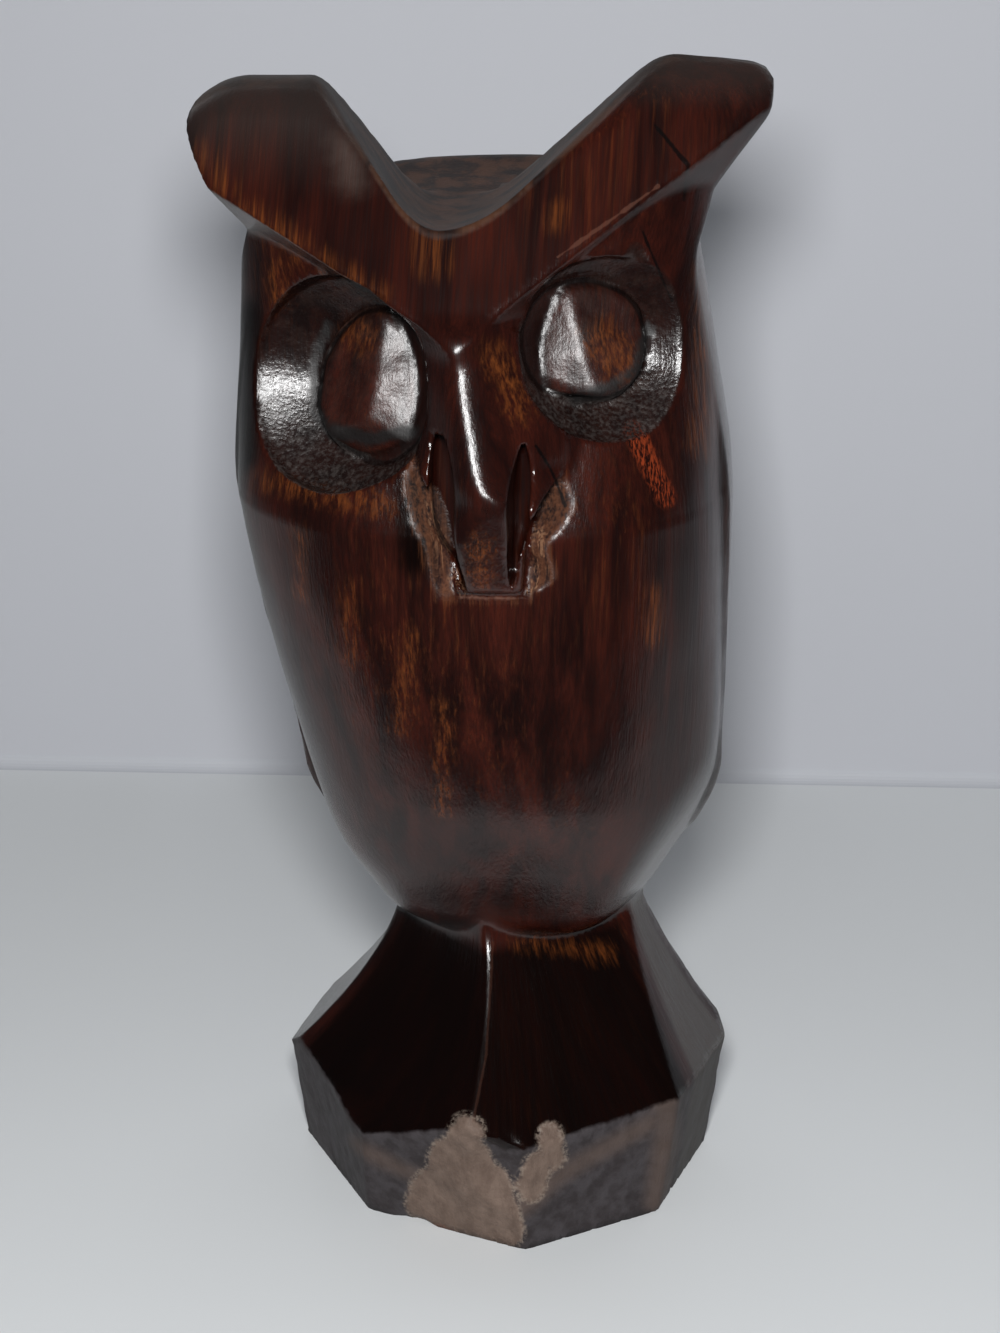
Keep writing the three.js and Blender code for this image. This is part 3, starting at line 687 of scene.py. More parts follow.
def crossings(field, grid, inside, axis):
    """Where the grid lines along an axis cross the surface: the index of the grid corner before
    each crossing, whether that corner is inside, and the crossing itself."""
    crossed = inside != np.roll(inside, -1, axis)
    crossed[[0, -1]] = crossed[:, [0, -1]] = crossed[:, :, [0, -1]] = False
    index = np.argwhere(crossed)
    start = np.stack([grid[c][index[:, c]] for c in range(3)], axis=1)
    span = grid[axis][index[:, axis] + 1] - grid[axis][index[:, axis]]
    begins_inside = inside[tuple(index.T)]

    def place(share):
        p = start.copy()
        p[:, axis] += share * span
        return p

    share, step = 0.5, 0.25
    for _ in range(HALVINGS):
        before = (field(*place(share).T) < 0) == begins_inside
        share = share + np.where(before, step, -step)
        step /= 2
    return index, begins_inside, place(share)


def meeting_places(member, points, slopes, room):
    """Each cell's corner, where the planes through its points meet. A pull to the middle of the
    points steadies it, and it moves from there by no more than a share of the cell's room."""

    def gather(rows):
        return np.stack([np.bincount(member, column, len(room)) for column in rows.T], axis=1)

    centre = gather(points) / np.bincount(member, minlength=len(room))[:, None]
    pull = gather((slopes[:, :, None] * slopes[:, None, :]).reshape(-1, 9)).reshape(-1, 3, 3)
    pull += CENTRE_PULL * np.eye(3)
    reach = ((points - centre[member]) * slopes).sum(axis=1, keepdims=True)
    move = np.linalg.solve(pull, gather(slopes * reach)[:, :, None])[:, :, 0]
    return centre + np.clip(move, -CORNER_ROOM * room, CORNER_ROOM * room)


def skin(field, grid):
    """Corner positions and four-sided faces of the surface where the field is nought."""
    values = sample(field, grid)
    untangle(values)
    stride = strides(values)
    inside = values < 0
    cell_of, points, faces = [], [], []
    for axis in range(3):
        index, begins_inside, crossing = crossings(field, grid, inside, axis)
        n = index @ stride
        u, v = around(axis, stride)
        ring = np.stack([n - u - v, n - v, n, n - u], axis=1)
        cell_of.append(ring)
        points.append(crossing)
        faces.append(np.where(begins_inside[:, None], ring, ring[:, ::-1]))
    points = np.concatenate(points)
    slopes = slope_at(field, points)

    cells, member = np.unique(np.concatenate(cell_of).reshape(-1), return_inverse=True)
    where = np.unravel_index(cells, values.shape)
    room = [np.diff(line)[np.minimum(at, len(line) - 2)] for line, at in zip(grid, where)]
    points, slopes = (np.repeat(rows, 4, axis=0) for rows in (points, slopes))
    corners = meeting_places(member.reshape(-1), points, slopes, np.stack(room, axis=1))
    return corners, np.searchsorted(cells, np.concatenate(faces))


NOISE_TABLE = 4096
NOISE_PRIMES = np.array([73856093, 19349663, 83492791])


def noise(p, scale, seed):
    """Smooth random values between -1 and 1 in space; scale is the size of a blot."""
    table = np.random.default_rng(seed).uniform(-1, 1, NOISE_TABLE)
    base = np.floor(p / scale).astype(np.int64)
    share = ease(p / scale - base)
    total = np.zeros(len(p))
    for corner in CUBE_CORNERS:
        key = np.bitwise_xor.reduce((base + corner) * NOISE_PRIMES, axis=1)
        weight = np.prod(np.where(corner, share, 1 - share), axis=1)
        total += weight * table[key % NOISE_TABLE]
    return total


# The view that the camera takes and the marks are placed in
VIEW_YAW = math.radians(6)
VIEW_PITCH = math.radians(20)


def towards(yaw, pitch):
    """The direction out from the owl's front, turned by a yaw towards +X and a pitch upwards."""
    level = math.cos(pitch)
    return np.array([math.sin(yaw) * level, -math.cos(yaw) * level, math.sin(pitch)])


VIEW_OUT = towards(VIEW_YAW, VIEW_PITCH)
VIEW_RIGHT = np.array([math.cos(VIEW_YAW), math.sin(VIEW_YAW), 0])
VIEW_UP = np.cross(VIEW_OUT, VIEW_RIGHT)


def in_view(places):
    """Places as they lie in the plane that faces the view."""
    return np.stack([places @ VIEW_RIGHT, places @ VIEW_UP], axis=1)


# Marks that only the colour and the finest relief show, each a round-ended stroke given by its
# half width and the points it runs through. It reaches as far as its depth in front and behind.
MARK_DEPTH = 12
MARKS = {
    "orange": [
        # Lower edges of the brow
        (0.9, (-38.7, -12.9, 153.4), (-34.4, -16.4, 148.9)),
        (1.1, (-30.8, -18.5, 146.6), (-24.3, -21.7, 143.3)),
        (0.6, (-20.3, -22.2, 141.2), (-12.5, -25, 137.2)),
        (1.1, (-28.8, -14.2, 138), (-28.2, -14.2, 134.8)),
        # Middle of the brow and floor of the notch
        (1.8, (-5.9, -24.5, 141.5), (-6.8, -21.3, 146.3)),
        (0.6, (9, -20, 146), (9.5, -19.5, 148)),
        (2.0, (-4.4, 14, 145), (-1.6, 8, 145)),
        # Right edge, lower left corner and upper middle of the face
        (1.3, (28.2, -5, 136), (28.9, -9.5, 124), (28.4, -13, 115)),
        (1.0, (-31, -17.5, 109.8), (-21.8, -25.5, 110.9), (-12.7, -28.5, 110.3)),
        (1.3, (2.6, -30, 131), (5.6, -29, 124)),
        # Breast
        (0.5, (-5.3, -25.6, 66), (-4.7, -27, 82)),
        (0.8, (-10.6, -27, 79), (-9.4, -27.6, 92)),
        (0.6, (22.7, -22, 91), (22.7, -23, 97.5)),
        (0.3, (-17.3, -27, 88), (-17.3, -27, 99)),
        (0.3, (-24.3, -24.5, 96), (-24.3, -24.5, 105)),
        # Eyeballs and the front of the beak
        (1.5, (-18.2, -17.2, 131), (-16, -17.2, 129.6)),
        (2.4, (15, -19.1, 131), (18, -19.1, 127.5)),
        (1.0, (0.9, -33.6, 106.5), (0.9, -32.6, 102.4)),
        # Top of the foot and the ledge at its front right
        (0.4, (4, -13.8, 41), (10, -12, 40), (16.5, -9, 38)),
        (0.6, (14.6, -9.5, 38), (16.6, -9, 37)),
    ],
    "ember": [
        # Right cheek
        (1.4, (19.7, -20.4, 119.1), (22, -21.2, 114.7), (24.2, -20.4, 110.1)),
    ],
    "dark": [
        # Painted shade on the left edge of the face and in the hollow beside the beak
        (2.6, (-34.2, -8, 130), (-35.2, -7.9, 118.5), (-34.2, -12, 112)),
        (1.6, (-9.4, -28.5, 113), (-8.2, -30, 103.5)),
    ],
    "frayed": [
        # Fibres at both sides of the beak and under it
        (0.45, (-6.2, -27, 110), (-5.2, -27, 106), (-3.6, -28.5, 102), (-1.9, -31.3, 99.7)),
        (0.4, (8.0, -27.4, 107), (8.4, -28.7, 102.5), (7.2, -29.1, 99.5)),
    ],
    "cut_shadow": [
        # Painted shadow in the knife cuts at the lower edges of the eyeballs
        (0.8, (21.4, -15.3, 131.8), (20, -18.4, 127.2), (17, -20.9, 125.0), (12.4, -22.9, 123.9)),
        (0.7, (-21.6, -16, 131.5), (-23.4, -17, 126), (-23, -18, 120), (-20.8, -19, 117.5)),
        (0.9, (-20.5, -20, 117.8), (-14.5, -23, 117.6), (-9.4, -23.7, 119)),
    ],
    "torn": [
        # Broken wood in the front of the foot
        (2.4, (-1.2, -32.6, 20.5), (-3.6, -29, 14), (-8, -26, 7)),
        (3.6, (-7.5, -25, 4), (1.5, -29, 1.5)),
        (4.6, (-2.5, -30, 14), (-1, -29.5, 6)),
        (3.0, (1.6, -30, 11), (3.6, -29.5, 3)),
        (1.7, (10.3, -30.5, 19), (10.8, -29.2, 15)),
        (2.0, (8.4, -29.2, 14), (7.4, -29, 10)),
    ],
    "stained": [
        # Pale rusty bands on the foot's sides
        (1.3, (5.6, -29.7, 6.5), (11.5, -27.8, 11.6), (23.8, -19.8, 16.4)),
        (1.2, (-18.4, -22.7, 11.6), (-12, -25.5, 10.2), (-7.2, -27.2, 9)),
        (2.0, (25.6, -16.5, 22.5), (26.2, -18, 12.6), (25, -16.3, 1.6)),
    ],
    "worn": [
        # Edge under the beak and a bruise at the foot's bottom
        (0.12, (-2.6, -29.7, 98.6), (1.5, -29.7, 98.2), (5.4, -29.3, 98.5)),
        (0.7, (-6.6, -27.5, 1), (-4, -28.2, 0.6)),
    ],
    "rubbed": [
        # Ridge of the nose
        (2.0, (-2.3, -31, 131.5), (-1.2, -33, 122), (0.4, -35.5, 117), (2.8, -37, 113.5)),
    ],
    "glare_spot": [
        # Painted glare on the inner side of the left ear
        (1.4, (-18.6, -15.7, 155), (-17.6, -16.5, 150)),
    ],
}

# Lines too thin for the mesh's corners to carry
CRACKS = [
    [(21.2, -9.3, 157.1), (24.2, -10.6, 154), (25.7, -11.2, 152.3), (25.2, -9.5, 147.4)],
    [(7.8, -29.6, 119.1), (9.5, -28.4, 115.9), (10.4, -26.9, 113.1), (11.4, -27.4, 110.6)],
    [(20.2, -14.9, 144.2), (21.9, -14.7, 140.2), (24.1, -13.3, 134.9)],
]
# Painted highlight lines: the brow's lower right edge and the foot's front ridge
BROW_EDGE = [[(9.7, -21.5, 142.0), (14.9, -18.2, 145.3), (22, -13.5, 149.9)]]
FOOT_RIDGE = [[(0.7, -16.5, 42), (0.7, -25.3, 28.8), (-0.4, -32.1, 22)]]


def stroke(p, half_width, *points):
    """How far inside a stroke each place is, in millimetres."""
    seen, line = in_view(p), in_view(np.array(points))
    nearest = np.full(len(p), np.inf)
    for start, end in zip(line, line[1:]):
        run = end - start
        along = np.clip((seen - start) @ run / (run @ run), 0, 1)
        nearest = np.minimum(nearest, np.linalg.norm(seen - start - along[:, None] * run, axis=1))
    behind = np.abs(p @ VIEW_OUT - np.mean(points, axis=0) @ VIEW_OUT) - MARK_DEPTH
    return half_width - np.maximum(nearest, behind)


# Bounds of the kinds of surface that follow from the shapes; facets are counted as in FLARE,
# and an ear's tip is given by where its grey begins and the length it fades over
SOCKET_FLOOR = 5
FRONT_HALF = -10
POCKET_KIND = {"wider": 0.2, "off_beak": 0.6, "top": 122}
LIP_KIND = {"wider": 0.9, "off_beak": 1.0, "top": 120}
CROWN_FROM = NOTCH - 6
LEFT_TIP = (LEFT_EAR["top"] - 9, 3)
RIGHT_TIP = (RIGHT_EAR["top"] - 4, 1.5)
SIDES_TOP = 24
# The foot's right flank, where a grey stands for the table's painted reflection
FLANK_KIND = {"chosen": [2], "others": [1, 3], "edge": 0.5, "top": WAIST + 2}
# The foot's front facets, painted near black as painted shade for the dark room they mirror
FACET_KIND = {"chosen": [0, 1], "others": [2, 3, 4, 5, 6], "edge": 1.5, "top": WAIST - 2}


def beside_beak(x, y, z, wider, off_beak, top):
    """How far each place is inside the pocket, made wider, off the beak and under a height."""
    in_front = np.minimum(beak(x, y, z)[0] - off_beak, FRONT_HALF - y)
    return np.minimum(np.minimum(pocket_inside(x, z) + wider, in_front), top - z)


def on_facets(x, y, z, chosen, others, edge, top):
    """How far each place is inside the chosen flared facets, off the others and under a height."""

    def past(facets):
        return np.max([outwards(FLARE[k][0], x, y) - FLARE[k][1] for k in facets], axis=0)

    return np.minimum(past(chosen) - past(others) - edge, top - z)


def kinds_of_surface(p):
    """How far inside each kind of surface every corner is, in millimetres to either side."""
    x, y, z = p.T
    kinds = {}
    for name, strokes in MARKS.items():
        kinds[name] = np.max([stroke(p, *mark) for mark in strokes], axis=0)
    sockets = [-eye.socket(x, y, z) for eye in EYES]
    floors = [eye.centre[2] - SOCKET_FLOOR - z for eye in EYES]
    kinds["hollow"] = np.max(sockets + [-NICK(x, y, z)], axis=0)
    kinds["ball"] = np.max([eye.on_ball(x, y, z) for eye in EYES], axis=0)
    kinds["grainy"] = np.max(np.minimum(sockets, floors), axis=0)
    kinds["side"] = np.minimum(foot_sides(x, y, z) - flare(x, y, z), SIDES_TOP - z)
    kinds["slot"] = np.max([-cut(x, y, z) for cut in SLOTS], axis=0)
    kinds["pocket"] = beside_beak(x, y, z, **POCKET_KIND)
    kinds["lip"] = beside_beak(x, y, z, **LIP_KIND)
    kinds["top"] = np.where(z > CROWN_FROM, under_crown(x, y, z), -EDGE_REACH)
    left, right = ((z - start) / fade for start, fade in (LEFT_TIP, RIGHT_TIP))
    kinds["tip"] = np.where(x < 0, left, right)
    kinds["flank"] = on_facets(x, y, z, **FLANK_KIND)
    kinds["facet"] = on_facets(x, y, z, **FACET_KIND)
    return {name: np.clip(inside, -EDGE_REACH, EDGE_REACH) for name, inside in kinds.items()}


# The grain leans back in the brow, less so towards the back, and spreads in the foot
LEAN_ENDS_Y = 12
LEAN_OVER = 20
GRAIN_SPREAD = 0.9
SPREAD_BEND = 1.3


def grain_places(p):
    """Places in the trunk as it grew, before brow and foot took the grain along."""
    x, y, z = p.T
    lean = BROW_LEAN * np.maximum(z - BROW_BOTTOM, 0) * ease((LEAN_ENDS_Y - y) / LEAN_OVER)
    spread = 1 + GRAIN_SPREAD * np.clip((WAIST - z) / (WAIST - RIM), 0, 1) ** SPREAD_BEND
    return np.stack([x / spread, (y - lean) / spread, z], axis=1)


# Fine relief along the surface's own direction, in layers of height, size of a bump and seed
POLISH = [(0.10, 9, 1), (0.035, 4, 2)]
GOUGES = [(0.55, 6.5, 3), (0.2, 2.8, 4), (0.05, 1.2, 10)]
SPLINTERS = [(0.22, 1.3, 5), (0.12, 0.9, 6)]
BREAKS = [(0.42, 5, 7), (0.22, 2.2, 8), (0.10, 1.1, 9)]
SPLINTER_SQUEEZE = [1, 1, 0.3]
BREAK_SQUEEZE = [1, 1, 0.7]
SUNKEN = 0.1
SIDE_ROUGHNESS = 0.6
BLEND = 0.4
RIM_CUT = {"depth": 0.25, "at": 0.2, "reach": 0.7}
BALL_CUT = {"depth": 0.55, "at": 0, "reach": 1.1}


def bumps(p, layers):
    return sum(height * noise(p, size, seed) for height, size, seed in layers)


def groove(inside, depth, at, reach):
    """A rounded groove along the line that lies at one distance inside a kind of surface."""
    return depth * ease(1 - np.abs(inside - at) / reach)


def relief(p, kinds):
    """Height in millimetres of the fine relief."""
    broken = bumps(p * BREAK_SQUEEZE, BREAKS)
    height = bumps(p, POLISH)
    for kind, amount in (
        ("hollow", bumps(p, GOUGES)),
        ("pocket", bumps(p * SPLINTER_SQUEEZE, SPLINTERS) - SUNKEN),
        ("side", broken * SIDE_ROUGHNESS),
        ("torn", broken - SUNKEN),
    ):
        share = ease((kinds[kind] + BLEND) / (2 * BLEND))
        height = height * (1 - share) + amount * share
    return height - groove(kinds["hollow"], **RIM_CUT) - groove(kinds["ball"], **BALL_CUT)


def vertex_normals(corners, faces):
    a, b, c, d = (corners[faces[:, k]] for k in range(4))
    face_normal = np.cross(c - a, d - b)
    member = faces.reshape(-1)
    weights = np.repeat(face_normal, 4, axis=0)
    return unit_rows(np.stack([np.bincount(member, w, len(corners)) for w in weights.T], axis=1))


# From the carver's frame to the row's, whose origin is in the middle of the width and depth
SHIFT = np.array([2.20, 2.16, 0])
UNDERSIDE = 0.3


def make_owl():
    corners, faces = skin(owl, GRID)
    kinds = kinds_of_surface(corners)
    normals = vertex_normals(corners, faces)
    underside = corners[:, 2] < UNDERSIDE
    height = np.where(underside, 0, relief(corners, kinds))
    low, high = (np.array(edge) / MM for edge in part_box("carved_owl"))
    placed = np.clip(corners + normals * height[:, None] + SHIFT, low, high)
    placed[underside, 2] = 0

    mesh = bpy.data.meshes.new("owl_carving")
    mesh.from_pydata((placed * MM).tolist(), [], faces.tolist())
    mesh.update()
    for name, inside in kinds.items():
        layer = mesh.attributes.new(name, "FLOAT", "POINT")
        layer.data.foreach_set("value", inside.astype(np.float32))
    grain = mesh.attributes.new("grain", "FLOAT_VECTOR", "POINT")
    grain.data.foreach_set("vector", (grain_places(corners) * MM).astype(np.float32).reshape(-1))
    mesh.shade_smooth()
    return add_object("owl_carving", mesh)


owl_piece = make_owl()


# Material nodes, by small helpers that each add one node and return its output


class Nodes:
    def __init__(self, name):
        self.material = bpy.data.materials.new(name)
        self.material.use_nodes = True
        self.tree = self.material.node_tree
        self.tree.nodes.clear()
        self.output = self.tree.nodes.new("ShaderNodeOutputMaterial")

    def add(self, kind, inputs=None, out=0, **settings):
        node = self.tree.nodes.new(kind)
        for key, value in settings.items():
            setattr(node, key, value)
        for key, value in (inputs or {}).items():
            if isinstance(value, bpy.types.NodeSocket):
                self.tree.links.new(value, node.inputs[key])
            else:
                node.inputs[key].default_value = value
        return node.outputs[out]

    def surface(self, inputs, one_sided=False):
        """The material with this surface, which is clear from behind where it is one-sided."""
        shader = self.add("ShaderNodeBsdfPrincipled", inputs)
        if one_sided:
            behind = self.add("ShaderNodeNewGeometry", out="Backfacing")
            clear = self.add("ShaderNodeBsdfTransparent")
            shader = self.add("ShaderNodeMixShader", {0: behind, 1: shader, 2: clear})
        self.tree.links.new(shader, self.output.inputs["Surface"])
        return self.material

    def math(self, operation, a, b=0.5, clamp=False):
        return self.add("ShaderNodeMath", {0: a, 1: b}, operation=operation, use_clamp=clamp)

    def times(self, a, b):
        return self.math("MULTIPLY", a, b)

    def most(self, first, *others):
        for other in others:
            first = self.math("MAXIMUM", first, other)
        return first

    def vector(self, operation, a, b, out=0):
        return self.add("ShaderNodeVectorMath", {0: a, 1: b}, out=out, operation=operation)

    def dot(self, a, b):
        return self.vector("DOT_PRODUCT", a, tuple(b), out=1)

    def ramp(self, value, low, high):
        """0 below low and 1 above high, smooth between them."""
        inputs = {"Value": value, "From Min": low, "From Max": high}
        return self.add("ShaderNodeMapRange", inputs, interpolation_type="SMOOTHSTEP")

    def mix(self, factor, a, b):
        """From colour a to colour b; the node's colours are its inputs 6 and 7."""
        return self.add("ShaderNodeMix", {0: factor, 6: a, 7: b}, out=2, data_type="RGBA")

    def paint(self, tone, layers):
        """Lays colours over a tone in turn, each as strong as given where its mask is 1."""
        for strength, mask, colour in layers:
            tone = self.mix(self.times(mask, strength), tone, colour)
        return tone

    def attribute(self, name):
        return self.add("ShaderNodeAttribute", out=2, attribute_name=name)

    def noise(self, vector, scale, detail, roughness=0.55, distortion=0.0):
        inputs = {"Vector": vector, "Scale": scale, "Detail": detail}
        inputs.update({"Roughness": roughness, "Distortion": distortion})
        return self.add("ShaderNodeTexNoise", inputs)


class Wood(Nodes):
    """Nodes that know the wood's textures and, as masks from 0 to 1, its kinds of surface."""

    def __init__(self, name):
        super().__init__(name)
        self.place = self.add("ShaderNodeTexCoord", out=3)
        self.grain = self.add("ShaderNodeAttribute", out=1, attribute_name="grain")

        # The plane that faces the view, and the owl's front half
        flat = [self.dot(self.place, axis) for axis in (VIEW_RIGHT, VIEW_UP)]
        self.seen = self.add("ShaderNodeCombineXYZ", dict(enumerate(flat)))
        depth = self.add("ShaderNodeSeparateXYZ", {0: self.place}, out=1)
        self.in_front = self.ramp(depth, 0.0, -0.002)

        # Along the grain
        self.fibres = self.noise(self.along_grain(0.035), 3600, 4, 0.65)
        self.strands = self.noise(self.along_grain(0.045), 1700, 5, 0.68, 0.15)
        self.bands = self.noise(self.along_grain(0.10, (0.04, 0.05, 0)), 240, 4, 0.6, 0.5)
        self.clouds = self.noise(self.along_grain(0.45), 45, 3)
        self.fine = self.ramp(self.fibres, 0.34, 0.66)

        # The same in every direction
        self.crumbs = self.noise(self.place, 1700, 3, 0.6)
        self.chips = self.noise(self.place, 420, 3, 0.6)
        self.grit = self.ramp(self.crumbs, 0.42, 0.64)

        # Kinds of surface
        # Painted shade: the dark marks and the foot's front facets are painted near black, with less
        # sheen
        facet = self.times(self.mark("facet", 1.2, 2.0, self.clouds), 0.97)
        self.gloom = self.most(self.mark("dark", 1.6, 2.4, self.clouds), facet)
        self.hollow = self.mark("hollow", 0.3, 0.5, self.crumbs)
        self.ball = self.near("ball", -0.1, 0.5)
        self.band = self.times(self.hollow, self.math("SUBTRACT", 1.0, self.ball))
        self.grainy = self.mark("grainy", 1.5, 1.5, self.chips)
        self.gritty = self.times(self.band, self.grainy)
        self.cut_shadow = self.mark("cut_shadow", 0.6, 1.6, self.chips)
        self.pocket = self.mark("pocket", 0.4, 0.8, self.crumbs)
        threads = self.noise(self.along_grain(0.05, (0, 0.12, 0)), 2400, 3, 0.6)
        self.frayed = self.times(self.mark("frayed", 0.7, 3.0, threads), self.ramp(threads, 0.5, 0.6))
        self.top = self.near("top", -1.1, -0.3)
        self.tips = self.near("tip", -2.0, 2.4)
        self.side = self.mark("side", 0.35, 0.8, self.chips)
        self.torn = self.mark("torn", 0.4, 2.4, self.chips)
        self.glare_spot = self.mark("glare_spot", 2.6, 2.4, self.chips)
        dulled = [self.times(self.top, 0.9), self.times(self.frayed, 0.8), self.times(self.tips, 0.35)]
        self.dull = self.most(self.side, self.pocket, self.torn, *dulled)

    def along_grain(self, stretch, turn=(0.0, 0.0, 0.0)):
        inputs = {"Vector": self.grain, "Scale": (1, 1, stretch), "Rotation": turn}
        return self.add("ShaderNodeMapping", inputs)

    def near(self, name, low, high):
        """0 below one distance inside a kind of surface and 1 above another."""
        return self.ramp(self.attribute(name), low, high)

    def mark(self, name, soft, ragged, texture=None):
        """Where a kind of surface is, with its edge broken up by a texture."""
        texture = self.strands if texture is None else texture
        edge = self.math("SUBTRACT", self.times(texture, ragged), ragged / 2)
        return self.ramp(self.math("ADD", self.attribute(name), edge), -soft, soft)

    def thin_lines(self, lines, width, wander):
        """Where a place is on a line as seen from the view; width and wander are in metres."""
        nearest = 1.0
        for line in lines:
            flat = in_view((np.array(line) + SHIFT) * MM)
            for start, end in zip(flat, flat[1:]):
                run = end - start
                off = self.vector("SUBTRACT", self.seen, (*start, 0))
                along = self.dot(off, (*run / (run @ run), 0))
                along = self.math("MULTIPLY", along, 1.0, clamp=True)
                inputs = {0: (*run, 0), "Scale": along}
                closest = self.add("ShaderNodeVectorMath", inputs, operation="SCALE")
                distance = self.vector("DISTANCE", off, closest, out=1)
                nearest = self.math("MINIMUM", nearest, distance)
        shift = self.times(self.math("SUBTRACT", self.chips, 0.5), wander)
        on_line = self.ramp(self.math("ADD", nearest, shift), width, LINE_CORE * width)
        return self.times(on_line, self.in_front)


def rgb(red, green, blue):
    return (red, green, blue, 1.0)


# Colours of the wood and of what the knife, the weather and hands have left on it, with painted shade,
# shadow, sheen, reflection, glare and highlights
PORE_BLACK_AND_SHADE = rgb(0.0014, 0.0006, 0.0005)
SHADE_BLACK = rgb(0.0018, 0.0007, 0.0005)
DARK = rgb(0.0075, 0.0013, 0.0008)
BROWN = rgb(0.036, 0.0060, 0.0029)
ORANGE = rgb(0.10, 0.026, 0.0065)
GLOW = rgb(0.125, 0.034, 0.0075)
EMBER = rgb(0.21, 0.032, 0.009)
SCRAPED = [rgb(0.012, 0.006, 0.005), rgb(0.065, 0.036, 0.028)]
GRIT_AND_SHEEN = [rgb(0.042, 0.035, 0.033), rgb(0.19, 0.175, 0.165)]
FIBROUS = [PORE_BLACK_AND_SHADE, rgb(0.07, 0.030, 0.015)]
LIP = rgb(0.09, 0.030, 0.011)
THREADS = rgb(0.18, 0.090, 0.048)
CROWN = [rgb(0.010, 0.005, 0.004), rgb(0.060, 0.026, 0.013)]
GREY_TIP = rgb(0.023, 0.017, 0.015)
SLATE = [rgb(0.025, 0.020, 0.021), rgb(0.048, 0.042, 0.045)]
STAIN = rgb(0.090, 0.062, 0.050)
PITH = [rgb(0.085, 0.057, 0.044), rgb(0.148, 0.105, 0.083)]
CRUMBLED = rgb(0.20, 0.16, 0.13)
WORN_SPOT = rgb(0.14, 0.065, 0.045)
REFLECTED_GREY = rgb(0.060, 0.054, 0.050)
GLARE_TONE = rgb(0.07, 0.045, 0.034)
EDGE_HIGHLIGHT = rgb(0.13, 0.055, 0.036)

POLISHED = 0.18
SHEEN = 0.5
GRAIN_BUMP = {"Strength": 0.3, "Distance": 0.0003}
REFRACTION = 1.5
LINE_CORE = 0.3


def grain_tone(n):
    """Straight grain in bands, lit by thin orange strands where the clouds allow them."""
    streak = n.times(n.ramp(n.strands, 0.5, 0.7), n.ramp(n.clouds, 0.42, 0.66))
    glow = n.times(n.mark("orange", 1.8, 3.6), n.ramp(n.strands, 0.36, 0.66))
    crackle = n.ramp(n.noise(n.along_grain(0.16, (0, 0.36, 0)), 3300, 3, 0.7), 0.44, 0.58)
    ember = n.times(n.mark("ember", 0.5, 1.0, n.fibres), crackle)
    layers = [
        (0.6, n.ramp(n.clouds, 0.55, 0.3), DARK),
        (0.32, streak, ORANGE),
        # painted shade, near black, over the dark marks and the foot's front facets
        (0.92, n.gloom, SHADE_BLACK),
        (0.8, glow, GLOW),
        (0.8, ember, EMBER),
        (0.45, n.fine, PORE_BLACK_AND_SHADE),
    ]
    return n.paint(n.mix(n.ramp(n.bands, 0.32, 0.70), DARK, BROWN), layers)


def cut_layers(n):
    """Cut, broken and weathered places, greyer ear tips, painted shadow in the eyeballs' cuts, painted
    sheen on the sockets' lower bands, a painted reflection on the foot's right flank and a painted glare
    on the left ear.
    """
    scraped = n.mix(n.ramp(n.chips, 0.4, 0.62), *SCRAPED)
    lip = n.times(n.mark("lip", 0.5, 2.6), n.ramp(n.strands, 0.38, 0.6))
    slate = n.mix(n.ramp(n.chips, 0.3, 0.7), *SLATE)
    slate = n.paint(slate, [(0.65, n.mark("stained", 1.4, 1.2, n.chips), STAIN)])
    pith = n.mix(n.ramp(n.noise(n.along_grain(0.3), 900, 4, 0.65), 0.2, 0.8), *PITH)
    torn_edge = n.ramp(n.math("ABSOLUTE", n.attribute("torn")), 0.7, 0.1)
    return [
        (0.5, n.band, scraped),
        (0.1, n.ball, scraped),
        # the sockets' lower bands: grey grit, lightened further as a painted sheen
        (0.85, n.gritty, n.mix(n.grit, *GRIT_AND_SHEEN)),
        # painted shadow in the cuts at the eyeballs' lower edges
        (0.93, n.cut_shadow, PORE_BLACK_AND_SHADE),
        (0.5, n.pocket, n.mix(n.grit, *FIBROUS)),
        (0.42, lip, LIP),
        (0.65, n.frayed, THREADS),
        (0.7, n.top, n.mix(n.ramp(n.bands, 0.4, 0.6), *CROWN)),
        # greyer towards the ear tops
        (0.68, n.tips, GREY_TIP),
        (0.92, n.side, slate),
        (1.0, n.torn, pith),
        (0.6, n.times(torn_edge, n.grit), CRUMBLED),
        (0.7, n.mark("worn", 0.35, 0.7, n.crumbs), WORN_SPOT),
        # painted reflection of the table on the foot's right flank
        (0.8, n.near("flank", -0.5, 1.2), REFLECTED_GREY),
        # painted glare on the left ear
        (0.3, n.glare_spot, GLARE_TONE),
    ]


def line_layers(n):
    """Painted highlights along the brow's lower right edge and the foot's front ridge, and painted shade
    in the cracks, slots, grooves and sockets' rims.
    """
    # painted highlight lines along the brow's lower right edge and the foot's front ridge
    ridge = n.times(n.thin_lines(FOOT_RIDGE, 0.0003, 0.0004), 0.4)
    edges = n.most(n.thin_lines(BROW_EDGE, 0.00032, 0.0010), ridge)
    rim = n.times(n.near("hollow", -0.4, 0.1), n.near("hollow", 0.9, 0.3))
    groove = n.times(n.near("ball", -0.9, -0.2), n.near("ball", 0.7, 0.1))
    cracked = n.thin_lines(CRACKS, 0.00028, 0.0008)
    # painted shade in the sockets' rims, the balls' grooves, the cracks and the slots
    shade = n.most(n.times(rim, 0.8), groove, cracked, n.near("slot", -0.3, 0.3))
    return [(0.3, edges, EDGE_HIGHLIGHT), (0.9, shade, PORE_BLACK_AND_SHADE)]


